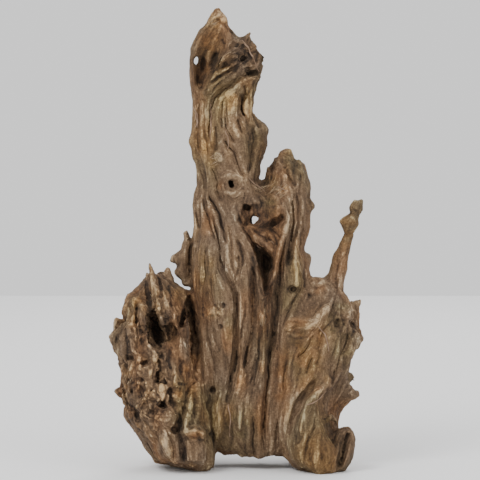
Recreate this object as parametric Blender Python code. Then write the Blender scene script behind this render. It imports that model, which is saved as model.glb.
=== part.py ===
# Aquarium driftwood root, one grown piece of weathered wood standing on its cut root ends.
#
# Frame: origin on the floor at the centre of the root's box, +Z up, the front facing -Y, +X to the
# right as seen from the front. Sizes in the tables are millimetres, and MM turns them into metres.
#
# The root is built the way it grew. Broad masses of wood give the trunk, the second spire, the arm,
# the right flank and the left burl. Ropes of fibre are laid on them, hollows are cut, and the long
# drying cracks are pressed in. The result is one closed solid.

import math
import random

import bmesh
import bpy
import numpy as np
from mathutils import Vector, noise
from mathutils.bvhtree import BVHTree

MM = 0.001
NODE = "driftwood_root"
SEED = 11

# Driving dimensions
HEIGHT = 400.0            # floor to the tip of the tall spire
FLOOR_CUT = 0.0           # height of the flat cut under the feet
VOXEL = 1.5               # grid on which the overlapping masses grow together
MOST_TRIANGLES = 11400
RING_SIDES = 28
LOOK_DOWN = 5.0           # slope of the view from which the heights were read, in degrees
NEAR_FOOT = -50.0         # depth of the foot that stands nearest
FLOW = 0.12               # spread of the grain from the middle outwards, going up
FLUTE = 2.6               # depth of the long flutes
LUMP = 4.0                # size of the swellings on the burl
SWELL_STRENGTH = 1.1
CRACK_STRENGTH = 1.0
FRONT_FAVOUR = 0.00003    # how much more finely the front is faceted than the rest

# Ropes of fibre on a mass, as (how many, first bearing, last bearing, radius, how far they stand proud).
# Bearing 0 is the right side, 90 the back, 180 the left side and 270 the front.
ROPES = {
    "trunk": (12, -20, 200, 9, 3.0), "second_spire": (6, -40, 160, 6.5, 2.5),
    "right_flank": (8, -50, 150, 9, 3.0), "burl": (9, 40, 240, 10, 4.0),
    "back_root": (6, 10, 200, 9, 3.0), "back_rib": (5, 10, 170, 8, 3.0),
}

# Masses, as rows from the bottom up of (height, left, right, front, back)
LEFT, RIGHT, FRONT, BACK = 1, 2, 3, 4
TRUNK = [
    (15, -12, 42, -20, 26), (19, -22, 52, -24, 36), (26, -28, 54, -26, 40), (40, -30, 54, -28, 42),
    (70, -32, 51, -31, 43), (100, -33, 47, -33, 42), (140, -35, 43, -34, 38), (170, -37, 42, -33, 35),
    (195, -37, 44, -31, 33), (215, -36.5, 46, -28, 32), (232, -37.5, 40, -25, 31),
    (242, -35.5, 28, -22, 30), (252, -32, 20, -19, 31), (264, -33, 21.5, -17, 31),
    (276, -36, 24, -16, 30), (286, -39.5, 27, -16, 28), (296, -38, 28, -16, 27),
    (303, -37.5, 23, -15, 26), (309, -37.5, 16, -15, 25), (320, -37, 16, -15, 23),
    (334, -38.5, 18, -17, 20), (345, -39, 21.5, -18, 17), (357, -39.5, 22.5, -19, 14),
    (365, -38.5, 17, -18, 12), (370, -36.5, 8, -17, 10), (375, -34.5, 2, -16, 8),
    (380, -31.5, -2, -15, 7), (386, -27, -7, -13, 5), (392, -24, -8, -11, 3),
    (397, -20, -11.5, -8.5, 0.5), (400, -16.5, -13.5, -5.5, -2.5),
]
SECOND_SPIRE = [
    (60, 30, 52, -25, 34), (120, 26, 58, -28, 32), (165, 22, 65, -27, 29), (180, 18, 61.5, -27, 27),
    (195, 16, 59.5, -26, 25), (208, 14, 63, -24, 25), (222, 12, 64.5, -21, 27),
    (236, 14, 64.5, -16, 29), (247, 21, 63, -12, 29), (252, 26, 62.5, -9, 28), (260, 28.5, 60, -5, 27),
    (265, 32, 56, -2, 25), (269, 34.5, 52, 1, 23), (274, 37.5, 49.5, 4, 20), (277.5, 41.5, 46, 8, 16),
]
ARM = [
    (120, 58, 92, -14, 24), (140, 60, 94, -13, 22), (155, 62, 93, -10, 20), (163, 68, 93, -8, 16),
    (168, 76, 94.5, -6, 13), (175, 81.5, 96, -5, 10), (185, 84.3, 97.5, -6, 7), (192, 86.5, 99, -7, 5),
    (200, 91, 101.3, -8, 3), (206, 93.7, 103.2, -9.5, 1), (212, 92, 105.3, -12, 1),
    (217.5, 90.5, 106.5, -14, 0), (222, 95, 107, -13, -2), (226, 98.6, 109, -14, -4),
    (231, 99.2, 110.2, -15, -5), (235, 102, 110, -15, -7),
]
RIGHT_FLANK = [
    (0, 60, 90, -44, 26), (3, 55, 93, -49, 32), (8, 48, 94, -52, 36), (14, 42, 93, -53, 39),
    (28, 38, 87, -50, 41), (42, 34, 86, -44, 40), (55, 32, 88, -39, 38), (66, 30, 93, -36, 36),
    (80, 28, 97, -33, 34), (92, 26, 97, -31, 32), (104, 24, 101, -29, 31), (116, 22, 104, -27, 30),
    (130, 20, 104, -25, 28), (142, 20, 102, -22, 26), (152, 26, 95, -19, 24), (160, 32, 90, -15, 20),
    (167, 44, 82, -9, 14),
]
BURL = [
    (3, -45, -19, -26, 8), (7, -55, -17.5, -38, 18), (11, -67, -17, -46, 25), (17, -74, -17, -50, 30),
    (34, -85, -20, -52, 34), (46, -93, -22, -51, 34), (62, -97, -25, -49, 34), (78, -98, -28, -47, 32),
    (94, -100, -30, -45, 30), (108, -104, -31, -42, 28), (118, -108, -32, -39, 26),
    (124, -103, -33, -36, 26), (132, -98, -34, -33, 26), (144, -97, -35, -30, 24),
    (152, -92, -37, -26, 22), (157, -87, -40, -23, 20), (161, -80, -49, -21, 18),
    (166, -78, -54, -17, 14), (171, -74, -63, -12, 9),
]
BACK_ROOT = [
    (5, -56, -28, 20, 50), (14, -62, -24, 14, 55), (36, -62, -14, 6, 57), (64, -50, -2, 2, 54),
    (96, -38, 12, 0, 49), (130, -26, 20, -2, 42), (180, -20, 22, -4, 35), (220, -16, 16, -8, 27),
]
BACK_RIB = [
    (4, 52, 84, 10, 50), (14, 50, 86, 8, 55), (40, 42, 78, 4, 52), (76, 34, 66, 0, 47),
    (110, 30, 58, -2, 41), (150, 30, 56, -4, 34),
]
FOOT_LOBE = [
    (3, 76, 95, -36, -10), (8, 78, 98, -38, -8), (15, 80, 101.3, -39, -7), (23, 82, 103.4, -39, -7),
    (30, 83, 103.4, -38, -8), (35, 84, 101.6, -36, -10), (38.5, 87, 98, -33, -13),
]
MASSES = {"trunk": TRUNK, "second_spire": SECOND_SPIRE, "arm": ARM, "right_flank": RIGHT_FLANK,
          "burl": BURL, "back_root": BACK_ROOT, "back_rib": BACK_RIB, "foot_lobe": FOOT_LOBE}

# Stubs, horns and knobs that stand free, as (x, z, y, radius) from the root of each to its tip
SPURS = {
    "left_finger": [(-37, 182, 6, 7), (-40.5, 192, 7, 4.2), (-41.8, 200, 8, 3), (-42.4, 208, 9, 2)],
    "left_lobe": [(-34, 183, 8, 9), (-43, 184, 9, 7.5), (-49.5, 185.5, 9, 5), (-54, 185.5, 9, 3)],
    "left_lobe_under": [(-36, 170, 6, 6), (-42, 174, 6, 5), (-48, 178, 6, 4.4)],
    "collar": [(-52, 158, -2, 5), (-46, 156, -2, 4.5), (-38, 152, -3, 5)],
    "burl_horn": [(-96, 114, -4, 9), (-100, 123, -5, 5.5), (-101.8, 129, -7, 3.2),
                  (-102.6, 133.5, -8, 1.6)],
    "burl_ear": [(-97, 111, -2, 10), (-104, 117, -4, 6.5), (-108.8, 119.8, -5, 3.6)],
    "burl_thorn": [(-77, 159, -6, 5), (-79.6, 164, -6, 3), (-81, 166, -6, 1.8)],
    "burl_barb": [(-72, 165, -8, 5), (-74.8, 170, -8, 3), (-76, 172, -8, 1.8)],
    "pale_splinter": [(-62, 142, -25, 5), (-66, 152, -25, 4.8), (-69, 163, -21, 3.8),
                      (-71, 171, -16, 2.6), (-73.6, 179.3, -13, 1.5)],
    "burl_stub": [(-57, 150, -4, 7), (-58, 162, -4, 6), (-58.5, 171, -4, 3.6), (-58.7, 176, -4, 2.6)],
    "burl_knob": [(-94, 70, -4, 6), (-98, 70.5, -4, 4.4), (-101.4, 71, -4, 2.6)],
    "crown_twig": [(5, 363, -8, 4), (8.3, 370.5, -9, 2.6), (10.3, 375, -9, 2.2), (12.2, 377.5, -9, 2.3)],
    "crown_knob": [(8, 361, 0, 7), (13, 365.5, 0, 6), (14.6, 366.3, 0, 5)],
    "crown_cheek": [(13, 355, 0, 9), (19.5, 357.5, 0, 6), (22.8, 360.3, 0, 2.6)],
    "crown_jaw": [(14, 346, 0, 8), (20, 346.5, 0, 4.4), (22.8, 346, 0, 2.2)],
    "notch_barb": [(29, 255, 8, 5), (27.6, 260, 8, 3), (27, 264.4, 8, 1.6)],
    "notch_tooth": [(28, 246, 6, 4), (25.4, 250.5, 6, 2.6), (24.8, 253.4, 6, 1.6)],
    "spire_shoulder": [(54, 252, 14, 8), (54.6, 261, 15, 6.5), (54.6, 265.6, 15, 4.4)],
    "spire_cheek": [(56, 231, 8, 8), (62.6, 231, 8, 5.4), (66.6, 230.6, 8, 2.6)],
    "spire_thorn": [(57, 174, 2, 6), (61, 183, 3, 4), (63, 188.4, 4, 2)],
    "valley_thorn": [(63.5, 159, 2, 5), (65.2, 165, 1, 3), (65.8, 168.4, 0, 1.6)],
    "arm_elbow": [(101, 213, -7, 5), (104.5, 216, -8, 3), (106.6, 218, -8, 1.6)],
    "arm_fork_left": [(102.5, 228, -10, 5), (102.4, 232, -11, 3.4), (102.8, 236, -12, 1.8)],
    "arm_fork_right": [(106, 228, -8, 5), (107.8, 232, -7, 3.4), (108.6, 237, -6, 1.6)],
    "arm_spine": [(90, 147, 4, 6), (94, 151.5, 4, 3.6), (96.6, 153.4, 4, 1.8)],
    "horn": [(94, 120, 4, 12), (99, 133, 6, 9), (102, 142, 8, 6), (104.2, 147, 10, 3.6),
             (106.6, 149.8, 11, 1.6)],
    "horn_lip": [(97, 138, 5, 6), (100.6, 145, 5, 4), (102.6, 148.8, 5, 2)],
    "flank_lobe": [(98, 112, 0, 9), (103, 118, 0, 8), (104.5, 120, 0, 7)],
    "flank_barb": [(91, 84, 2, 8), (98, 83, 4, 4.8), (103, 81.8, 6, 2)],
    "flank_thorn": [(87, 65, -8, 11), (95, 67, -10, 7), (101.5, 68, -12, 4.2), (105.8, 68.4, -13, 2.4)],
    "flank_splinter": [(78, 48, -34, 4.4), (82.6, 49.3, -35, 3), (85.4, 46, -34, 2.4),
                       (86.4, 41, -32, 1.8)],
    "foot_ball": [(66, 30, -38, 12), (72, 20, -40, 14), (78, 12, -38, 12)],
    "left_toe": [(-34, 40, -40, 9), (-36, 24, -44, 11), (-36, 11, -44, 10)],
}

# Hollows that go deep, as rows from the bottom up of (height, left, right, depth behind the front skin)
HOLLOWS = {
    "burl_cleft": [
        (79, -34, -30, 3), (88, -38, -30, 10), (104, -39.5, -31, 22), (122, -39, -31.5, 26),
        (138, -41, -34, 24), (148, -43, -36.5, 18), (154, -42, -38, 8),
    ],
    "burl_mouth": [
        (108.5, -70, -63, 12), (114, -73, -60.5, 28), (121, -75, -59, 34), (130, -75.5, -63, 32),
        (138, -73.5, -66, 22), (147, -72, -69, 8),
    ],
    "mouth_shelf": [
        (114.5, -66, -51, 12), (119, -66, -48.5, 17), (124, -64, -49, 14), (129, -64, -54, 10),
    ],
    "burl_slot": [
        (125, -48.4, -44.6, 14), (131, -47.8, -43.6, 17), (137, -47, -42, 15), (139.5, -45.6, -40.6, 9),
    ],
    "throat": [
        (152, 24.6, 27.6, 4), (160, 24, 28.5, 12), (168, 22.5, 29.5, 20), (177, 20, 33.5, 26),
        (186, 18.2, 33, 26), (192, 15.5, 27, 20), (199, 13.2, 18.5, 9),
    ],
    "crown_scoop": [
        (328.5, -32.5, -25.5, 5), (335, -35, -24, 11), (343, -36, -20, 15), (351, -36.2, -15.5, 17),
        (359, -36, -12, 15), (367, -34.5, -8, 11), (375, -32, -7.5, 8), (383, -28, -10, 5.5),
        (390, -22.5, -14, 2.5),
    ],
    "ring_dell": [(213, 6, 22, 3), (218, 5, 24, 6), (225, 5, 23, 6), (232, 7, 22, 3)],
}

# Smaller pits, as (x, z, half width, half height, depth, tilt in degrees)
PITS = [
    (-28, 352.5, 3.0, 5.5, 7, 0), (-19, 351, 4.0, 7.0, 9, 15), (7, 356.5, 4.5, 3.4, 9, -20),
    (12, 345.5, 6.0, 3.6, 8, 25), (6.5, 323, 3.2, 5.5, 6, 20), (-3.6, 249, 2.9, 3.9, 14, 0),
    (9.8, 228.5, 4.4, 4.0, 12, 0), (18.5, 229.5, 3.4, 4.2, 5, 0), (10.5, 217, 3.4, 6.0, 10, 20),
    (35.5, 217.5, 3.6, 9.0, 11, 50), (26, 200, 2.6, 2.0, 4, 0), (49.5, 158.8, 5.2, 3.6, 9, 12),
    (63.5, 153.5, 2.2, 2.6, 5, 0), (-62, 60, 4.0, 3.8, 12, 0), (-51, 38.5, 4.2, 3.4, 9, 30),
    (-21.5, 34.5, 3.0, 2.8, 6, 0), (-19.5, 72, 3.6, 4.0, 7, 0), (-12.4, 127, 2.0, 2.4, 6, 0),
    (-11, 145, 4.0, 2.6, 4, -25), (102, 129, 3.2, 4.6, 8, 0), (87, 130, 4.0, 5.0, 5, 0),
    (-78, 97, 3.4, 3.0, 6, 0), (-81.5, 82, 4.4, 1.8, 4, 0), (-66, 84, 3.0, 6.5, 6, 0),
    (-60.5, 79, 3.6, 3.0, 5, 0), (-30.5, 36, 3.0, 5.0, 5, 10), (53, 32, 4.0, 6.5, 8, 15),
    (-44.5, 96, 2.2, 2.2, 4, 0), (-90, 100, 4.4, 3.0, 4, 0), (-89, 118, 2.4, 2.0, 3, 0),
    (41, 12, 3.0, 2.6, 8, 0),
]

# Pits on the back, in the same form
BACK_PITS = [
    (-60, 108, 8, 12, 16, 20), (-78, 70, 5, 7, 9, -15), (20, 238, 4, 7, 9, 10),
    (66, 118, 6, 9, 12, -20), (38, 150, 4, 11, 10, 5), (-8, 300, 4, 9, 8, -8), (6, 92, 4.5, 12, 9, 4),
    (80, 62, 5, 5, 8, 0), (-14, 186, 3.4, 6, 7, 0), (14, 30, 6, 14, 12, 0),
]

# Cracks up the back, the right side and the left side, as (how many, lowest, highest)
BACK_CRACKS = {
    "trunk": (8, 30, 380), "second_spire": (3, 120, 262), "right_flank": (6, 20, 150),
    "burl": (4, 30, 150),
    "back_root": (2, 20, 150), "back_rib": (2, 20, 120),
}
RIGHT_CRACKS = {"right_flank": (6, 10, 156), "second_spire": (4, 165, 266), "trunk": (4, 270, 375)}
LEFT_CRACKS = {"burl": (7, 36, 164), "trunk": (5, 185, 385)}

# Holes right through the wood, as (x, z, half width, half height, tilt). They slope down to the back.
THROUGH = [(-33.6, 355, 2.8, 5.2, 4), (16.2, 218.8, 3.3, 4.2, 10)]

# Drying cracks on the front, as (depth, [(x, z, width), ...])
CRACKS = [
    (7, [(15, 178, 2), (15, 160, 3), (15, 145, 4), (14, 130, 4), (12.5, 115, 3.6), (10, 105, 3),
         (7.5, 90, 2)]),
    (8, [(43.5, 206, 2.4), (41, 195, 3), (38.5, 182, 3.4), (36, 160, 4), (34.5, 145, 3.4),
         (32, 115, 3.6), (29, 104, 4.2), (27.8, 80, 3), (25.5, 60, 3), (24, 40, 2.6), (24, 20, 2.4)]),
    (8, [(48.5, 236, 3), (49.4, 220, 4), (48, 205, 4.6), (46.6, 195, 4), (44.6, 180, 2.4)]),
    (8, [(-20, 222, 2), (-15.5, 207, 3), (-13, 195, 3), (-12, 184, 3), (-11.4, 175, 3), (-8, 168, 3.4),
         (-3, 162, 4), (0, 154, 4), (1, 145, 4), (0.6, 130, 3.6), (0.6, 115, 4), (0.4, 100, 5),
         (-2.6, 84, 5), (-5, 72, 4.6), (-7, 60, 2.6)]),
    (5, [(-23, 240, 2), (-21, 235, 3), (-17, 229, 3), (-14, 223, 3), (-12, 216, 3), (-10, 208, 3),
         (-8, 198, 2)]),
    (4, [(-28, 238, 2), (-26, 229, 3), (-23, 219, 3), (-20, 210, 2.6), (-17, 200, 2)]),
    (6, [(-20, 263, 2), (-17.5, 256, 3.4), (-15.6, 250, 3.4), (-15.6, 243, 3), (-13, 236, 2)]),
    (5, [(-9, 287, 2), (-7, 282, 3), (-1.5, 276, 3.6), (0.5, 269, 3.6), (4.5, 260, 3), (8, 254, 2)]),
    (5, [(-9, 306, 2), (-8, 298, 3), (-4.5, 291, 3.4), (-1, 284, 2)]),
    (5, [(1.5, 305, 2), (3.5, 299, 3), (6.5, 293, 2)]),
    (7, [(16, 347, 3), (8, 342, 5), (0, 337, 6), (-6, 332, 6), (-12, 328, 6), (-17.5, 322, 6),
         (-20.5, 314, 5), (-22.5, 303, 4), (-23, 290, 2)]),
    (4, [(-12, 343, 3), (-5, 346.5, 3), (1.5, 350, 3), (6, 353, 3)]),
    (5, [(7, 335, 3), (9.5, 327, 3.6), (5.5, 321, 4), (4.5, 313, 4), (8, 307, 3)]),
    (4, [(-10, 325, 2), (-11, 315, 3), (-12, 305, 3), (-11, 296, 2)]),
    (4, [(1, 202, 2), (3.5, 196, 2.6), (6, 189, 3), (5.6, 179, 2)]),
    (4, [(2.6, 188, 2), (2.6, 178, 2.6), (1.6, 170, 2)]),
    (5, [(3, 221, 2), (6.5, 212, 3), (12, 203, 3), (15.5, 197, 3)]),
    (5, [(66.5, 119, 2.6), (63, 112, 4), (59, 106, 3), (53, 99, 2)]),
    (4, [(66.5, 101, 2), (63, 94, 3), (60, 86, 2)]),
    (9, [(68, 81, 3), (64, 74, 6), (59, 67, 8), (54, 60, 8), (50, 51, 7), (47, 42, 6), (46, 33, 5)]),
    (5, [(85, 92, 2), (83.6, 84, 4), (81.6, 76, 2)]),
    (9, [(97, 36, 3), (94, 29, 5), (92.5, 22, 6), (91, 15, 5), (88, 7, 3)]),
    (9, [(-97, 82, 4), (-96, 72, 5), (-94, 65, 5), (-91.6, 59.6, 5), (-88, 57, 4), (-85, 53.5, 4),
         (-83, 48, 2)]),
    (6, [(-47.5, 56, 3), (-47, 46, 6), (-49, 38, 7), (-46, 30, 5), (-44, 20, 4), (-44, 10, 3)]),
    (6, [(-66, 100, 3), (-64, 92, 4), (-66.5, 84, 6), (-65, 76, 4)]),
    (5, [(15, 50, 3), (15.5, 40, 5), (15.5, 28, 6), (15.5, 14, 6)]),
    (4, [(-19, 126, 2), (-17.6, 118, 3), (-15.5, 110, 3), (-13.5, 104, 2)]),
    (5, [(-34, 80, 4), (-40, 73, 5), (-43, 62, 4), (-45, 50, 4)]),
    (4, [(52, 240, 3), (54, 228, 6), (53, 214, 4), (51, 204, 2)]),
    (4, [(44, 262, 2), (46, 255, 3), (49.5, 248, 3)]),
    (4, [(39, 202, 2), (34, 208, 3), (27, 212, 4), (22, 212, 3)]),
    (5, [(-38, 198, 3), (-39, 186, 4), (-40, 176, 4), (-39, 166, 3)]),
    (4, [(-86, 150, 2), (-83, 140, 3), (-85, 128, 3), (-84, 116, 3), (-84, 106, 2)]),
    (3, [(-91, 148, 2), (-89, 138, 3), (-91, 130, 2)]),
    (4, [(88, 168, 2), (87, 158, 3), (84, 146, 3), (80, 137, 2)]),
    (4, [(-32, 330, 2), (-31, 318, 3), (-33, 305, 3), (-33, 290, 3), (-31, 275, 2)]),
    (4, [(-28, 326, 2), (-26.5, 312, 3), (-27, 298, 3), (-25, 284, 3), (-24, 272, 2)]),
    (4, [(-17, 300, 2), (-16, 288, 3), (-17.5, 278, 3)]),
    (4, [(14, 300, 2), (15, 285, 3), (13, 270, 4), (11, 258, 3)]),
    (4, [(-30, 262, 2), (-27, 252, 3), (-27, 243, 2)]),
    (4, [(-33, 228, 2), (-31.5, 215, 3), (-32, 200, 3), (-34, 188, 2)]),
    (4, [(-25, 196, 2), (-26, 184, 3), (-25, 172, 3), (-28, 160, 2)]),
    (4, [(-6, 214, 2), (-4, 200, 3), (-3.6, 186, 3), (-2, 174, 2)]),
    (4, [(8.6, 150, 2), (7, 134, 3), (4.6, 116, 3), (4, 100, 2)]),
    (4, [(22, 132, 2), (20.6, 118, 3), (20, 104, 3), (16, 90, 3), (12, 74, 2)]),
    (4, [(-24, 132, 2), (-23, 118, 3), (-19, 100, 3), (-17, 86, 2)]),
    (4, [(58, 222, 3), (57.6, 208, 4), (55, 196, 3), (55, 184, 2)]),
    (4, [(56, 160, 2), (49, 148, 3), (44, 138, 3), (40, 126, 2)]),
    (4, [(76, 128, 2), (72, 116, 3), (72, 104, 3), (69, 92, 2)]),
    (4, [(96, 122, 2), (94, 110, 3), (88, 98, 3), (86, 88, 2)]),
    (4, [(44, 100, 2), (42, 84, 3), (40, 66, 3), (37, 46, 3), (34, 26, 2)]),
    (3, [(68, 52, 2), (66, 40, 3), (60, 26, 3), (58, 14, 2)]),
    (4, [(-56, 74, 3), (-54, 62, 4), (-50, 52, 3)]),
    (4, [(-76, 60, 3), (-72, 54, 5), (-66, 54, 4)]),
    (4, [(-84, 34, 3), (-76, 28, 4), (-70, 18, 4), (-68, 12, 3)]),
    (4, [(-58, 36, 3), (-54, 26, 4), (-53, 14, 3)]),
]

# Swells of wood that stand proud of the front, as (height, [(x, z, width), ...])
SWELLS = [
    (5, [(8, 366, 8), (-2, 361, 10), (-11, 356, 10), (-15, 349, 8), (-22, 339, 8), (-26, 331, 7),
         (-30, 322, 7)]),
    (4, [(13, 352, 7), (4, 350, 7), (-6, 343, 9), (-16, 335, 9), (-24, 325, 8)]),
    (3, [(18, 340, 8), (6, 337, 9), (4, 329, 8)]),
    (3, [(14, 333, 6), (12, 318, 7), (11, 306, 7)]),
    (3, [(-15, 322, 8), (-5, 327, 9), (0, 322, 8), (-2, 308, 9)]),
    (4, [(-22, 274, 8), (-15, 273, 11), (-11, 268, 8)]),
    (3, [(-28, 285, 9), (-28, 278, 9)]),
    (3, [(-12, 253, 12), (-3, 257, 12), (6, 252, 12), (8, 244, 12), (0, 241, 12), (-10, 244, 12)]),
    (4, [(33, 241, 8), (33, 236, 8)]),
    (5, [(47, 226, 5), (45, 214, 6), (42, 206, 6), (38, 195, 6), (34, 176, 6), (28, 160, 6),
         (23, 148, 7)]),
    (4, [(20, 204, 8), (27, 197, 8), (32, 192, 7)]),
    (3, [(14, 196, 5), (18, 183, 5), (18, 170, 5), (20, 158, 5), (22, 148, 6)]),
    (4, [(7, 176, 14), (8, 155, 14), (7, 130, 12), (5, 108, 10), (6, 90, 8), (2, 72, 8)]),
    (3, [(22, 142, 9), (23, 130, 9), (21, 112, 10), (21, 95, 10), (18, 75, 10)]),
    (4, [(-22, 200, 16), (-24, 180, 20), (-20, 160, 22), (-12, 140, 14), (-9, 120, 12), (-8, 100, 12)]),
    (3, [(-33, 160, 10), (-31, 140, 9), (-27, 115, 9), (-22, 95, 10)]),
    (5, [(44, 128, 10), (52, 131, 14), (61, 127, 11), (68, 130, 8), (74, 138, 7), (80, 147, 6)]),
    (6, [(97, 92, 9), (88, 83, 9), (79, 76, 9), (70, 70, 9), (62, 62, 8), (58, 50, 7), (56, 38, 6),
         (51, 24, 5)]),
    (3, [(76, 112, 9), (70, 98, 10), (65, 86, 8)]),
    (3, [(88, 120, 8), (90, 105, 9), (92, 92, 8)]),
    (5, [(90, 168, 6), (86, 152, 6), (78, 140, 6)]),
    (4, [(-15, 60, 8), (-14.5, 48, 9), (-15, 36, 8), (-17, 28, 6)]),
    (4, [(-27, 80, 6), (-29.5, 72, 8), (-29, 62, 7), (-32, 48, 8), (-33, 38, 9)]),
    (3, [(-37, 76, 4), (-38, 62, 5), (-41, 48, 5), (-44, 38, 6)]),
    (5, [(-44, 37, 9), (-36, 35, 11), (-26, 35, 8)]),
    (4, [(-49, 124, 6), (-46, 113, 7), (-42, 102, 6), (-40, 92, 5), (-33, 85, 5)]),
    (5, [(-68, 144, 7), (-62, 140, 8), (-58, 134, 7)]),
    (4, [(-90, 136, 6), (-92, 124, 7), (-88, 112, 7), (-84, 100, 6)]),
    (5, [(-80, 148, 12), (-78, 138, 11), (-80, 126, 8)]),
    (4, [(-54, 92, 8), (-50, 85, 11), (-48, 78, 8)]),
    (4, [(-68, 102, 7), (-67, 97, 9)]),
    (4, [(-94, 90, 9), (-93, 86, 9)]),
    (4, [(-93, 78, 6), (-91.5, 70, 7)]),
    (5, [(-77, 71, 12), (-76, 64, 11)]),
    (5, [(-66, 49, 9), (-58, 46, 11), (-53, 52, 9)]),
    (4, [(-62, 33, 6), (-61, 27, 7), (-56, 20, 5)]),
    (4, [(-84, 60, 5), (-79, 52, 6), (-72, 45, 5), (-67, 38, 5)]),
    (4, [(-86, 42, 8), (-84, 37, 8)]),
    (3, [(4, 60, 5), (4, 50, 5), (3, 38, 5)]),
    (3, [(18, 300, 14), (19, 288, 14), (17, 272, 10), (16, 258, 8)]),
    (3, [(-34, 300, 7), (-35, 285, 8), (-33, 268, 7)]),
    (3, [(58, 240, 9), (60, 225, 8), (59, 208, 8)]),
    (4, [(46, 272, 9), (44, 262, 10), (40, 252, 10)]),
    (3, [(54, 200, 9), (53, 186, 12), (56, 172, 12)]),
    (4, [(102, 120, 10), (100, 106, 9), (98, 94, 7)]),
    (4, [(100, 142, 8), (97, 130, 9), (94, 118, 7)]),
    (3, [(58, 60, 8), (66, 66, 8), (72, 40, 14), (76, 24, 16)]),
]


def clear_scene():
    for obj in list(bpy.data.objects):
        bpy.data.objects.remove(obj, do_unlink=True)


def mesh_object(name, points, faces):
    mesh = bpy.data.meshes.new(name)
    mesh.from_pydata([Vector(p) * MM for p in points], [], faces)
    mesh.validate()
    obj = bpy.data.objects.new(name, mesh)
    bpy.context.collection.objects.link(obj)
    return obj


def skin(rings):
    """Closed surface through rings of equal length, given from one end to the other."""
    sides = len(rings[0])
    points = [point for ring in rings for point in ring]
    faces = [tuple(reversed(range(sides)))]
    for row in range(len(rings) - 1):
        a, b = row * sides, (row + 1) * sides
        for i in range(sides):
            j = (i + 1) % sides
            faces.append((a + i, a + j, b + j, b + i))
    faces.append(tuple(range((len(rings) - 1) * sides, len(rings) * sides)))
    return points, faces


def fine_rows(rows, step=5.0):
    """Rows with even steps of height between those given."""
    given, *edges = np.array(rows, float).T
    count = max(2, int(round((given[-1] - given[0]) / step)) + 1)
    heights = np.unique(np.concatenate([np.linspace(given[0], given[-1], count), given]))
    return list(zip(heights, *(np.interp(heights, given, edge) for edge in edges)))


def ring_of(row):
    height, left, right, front, back = row
    across, deep = (right - left) / 2, (back - front) / 2
    ring = []
    for i in range(RING_SIDES):
        turn = 2 * math.pi * i / RING_SIDES
        ring.append(((left + right) / 2 + across * math.cos(turn),
        (front + back) / 2 + deep * math.sin(turn), height))
    return ring


def mass(name, rows):
    return mesh_object(name, *skin([ring_of(row) for row in rows]))


def smooth_path(path, parts=4):
    """Catmull-Rom curve through the points of a path."""
    p = np.array(path, float)
    p = np.vstack([2 * p[0] - p[1], p, 2 * p[-1] - p[-2]])
    out = []
    for i in range(1, len(p) - 2):
        for k in range(parts):
            t = k / parts
            out.append(0.5 * (2 * p[i] + (p[i + 1] - p[i - 1]) * t
                              + (2 * p[i - 1] - 5 * p[i] + 4 * p[i + 1] - p[i + 2]) * t ** 2
                              + (3 * p[i] - p[i - 1] - 3 * p[i + 1] + p[i + 2]) * t ** 3))
    out.append(p[-2])
    return out


def tube(name, path, sides=10):
    """Closed tube along points of (x, z, y, radius)."""
    track = smooth_path(path)
    spots = [Vector((q[0], q[2], q[1])) for q in track]
    rings = []
    for i, spot in enumerate(spots):
        ahead = (spots[min(i + 1, len(spots) - 1)] - spots[max(i - 1, 0)]).normalized()
        side = ahead.cross(Vector((0.13, 1, 0.07))).normalized()
        over = ahead.cross(side)
        radius = max(float(track[i][3]), 0.5)
        ring = []
        for k in range(sides):
            turn = 2 * math.pi * k / sides
            ring.append(spot + radius * (math.cos(turn) * side + math.sin(turn) * over))
        rings.append(ring)
    return mesh_object(name, *skin(rings))


def rope(name, rows, turn, radius, proud, seed):
    """Cord of fibre that runs up a mass at one bearing and wanders a little."""
    path = []
    for height, left, right, front, back in fine_rows(rows, 7.0):
        if right - left < 2.4 * radius or back - front < 2.4 * radius or height < rows[0][0] + radius:
            continue
        sway = noise.noise(Vector((turn * 2.1, height / 45, seed)))
        swell = noise.noise(Vector((turn * 3.7, height / 26, seed + 9)))
        size = radius * (1 + 0.45 * swell)
        bearing = turn + 0.42 * sway
        reach = proud * (0.7 + 0.9 * swell) * abs(math.sin(bearing)) - size - 1.2
        path.append(((left + right) / 2 + ((right - left) / 2 + reach) * math.cos(bearing), height,
                     (front + back) / 2 + ((back - front) / 2 + reach) * math.sin(bearing), size))
    return tube(name, path, 12)


def joined(name, objects):
    """One object that holds the meshes of all of them, still overlapping."""
    bm = bmesh.new()
    for obj in objects:
        bm.from_mesh(obj.data)
    bmesh.ops.recalc_face_normals(bm, faces=bm.faces)
    mesh = bpy.data.meshes.new(name)
    bm.to_mesh(mesh)
    bm.free()
    for obj in objects:
        bpy.data.objects.remove(obj, do_unlink=True)
    whole = bpy.data.objects.new(name, mesh)
    bpy.context.collection.objects.link(whole)
    return whole


def apply_modifiers(obj):
    graph = bpy.context.evaluated_depsgraph_get()
    graph.update()
    mesh = bpy.data.meshes.new_from_object(obj.evaluated_get(graph))
    obj.modifiers.clear()
    obj.data = mesh


def grown_together(obj, size):
    """Overlapping shapes made one skin on a grid of this size in millimetres."""
    fuse = obj.modifiers.new("fuse", "REMESH")
    fuse.mode = "VOXEL"
    fuse.voxel_size = size * MM
    apply_modifiers(obj)


def softened(obj, factor, times):
    ease = obj.modifiers.new("ease", "SMOOTH")
    ease.factor = factor
    ease.iterations = times
    apply_modifiers(obj)


def cut(obj, cutter):
    cutter.hide_render = True
    cutter.display_type = "WIRE"
    carve = obj.modifiers.new("carve", "BOOLEAN")
    carve.operation = "DIFFERENCE"
    carve.solver = "EXACT"
    carve.object = cutter
    apply_modifiers(obj)
    bpy.data.objects.remove(cutter, do_unlink=True)


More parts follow.
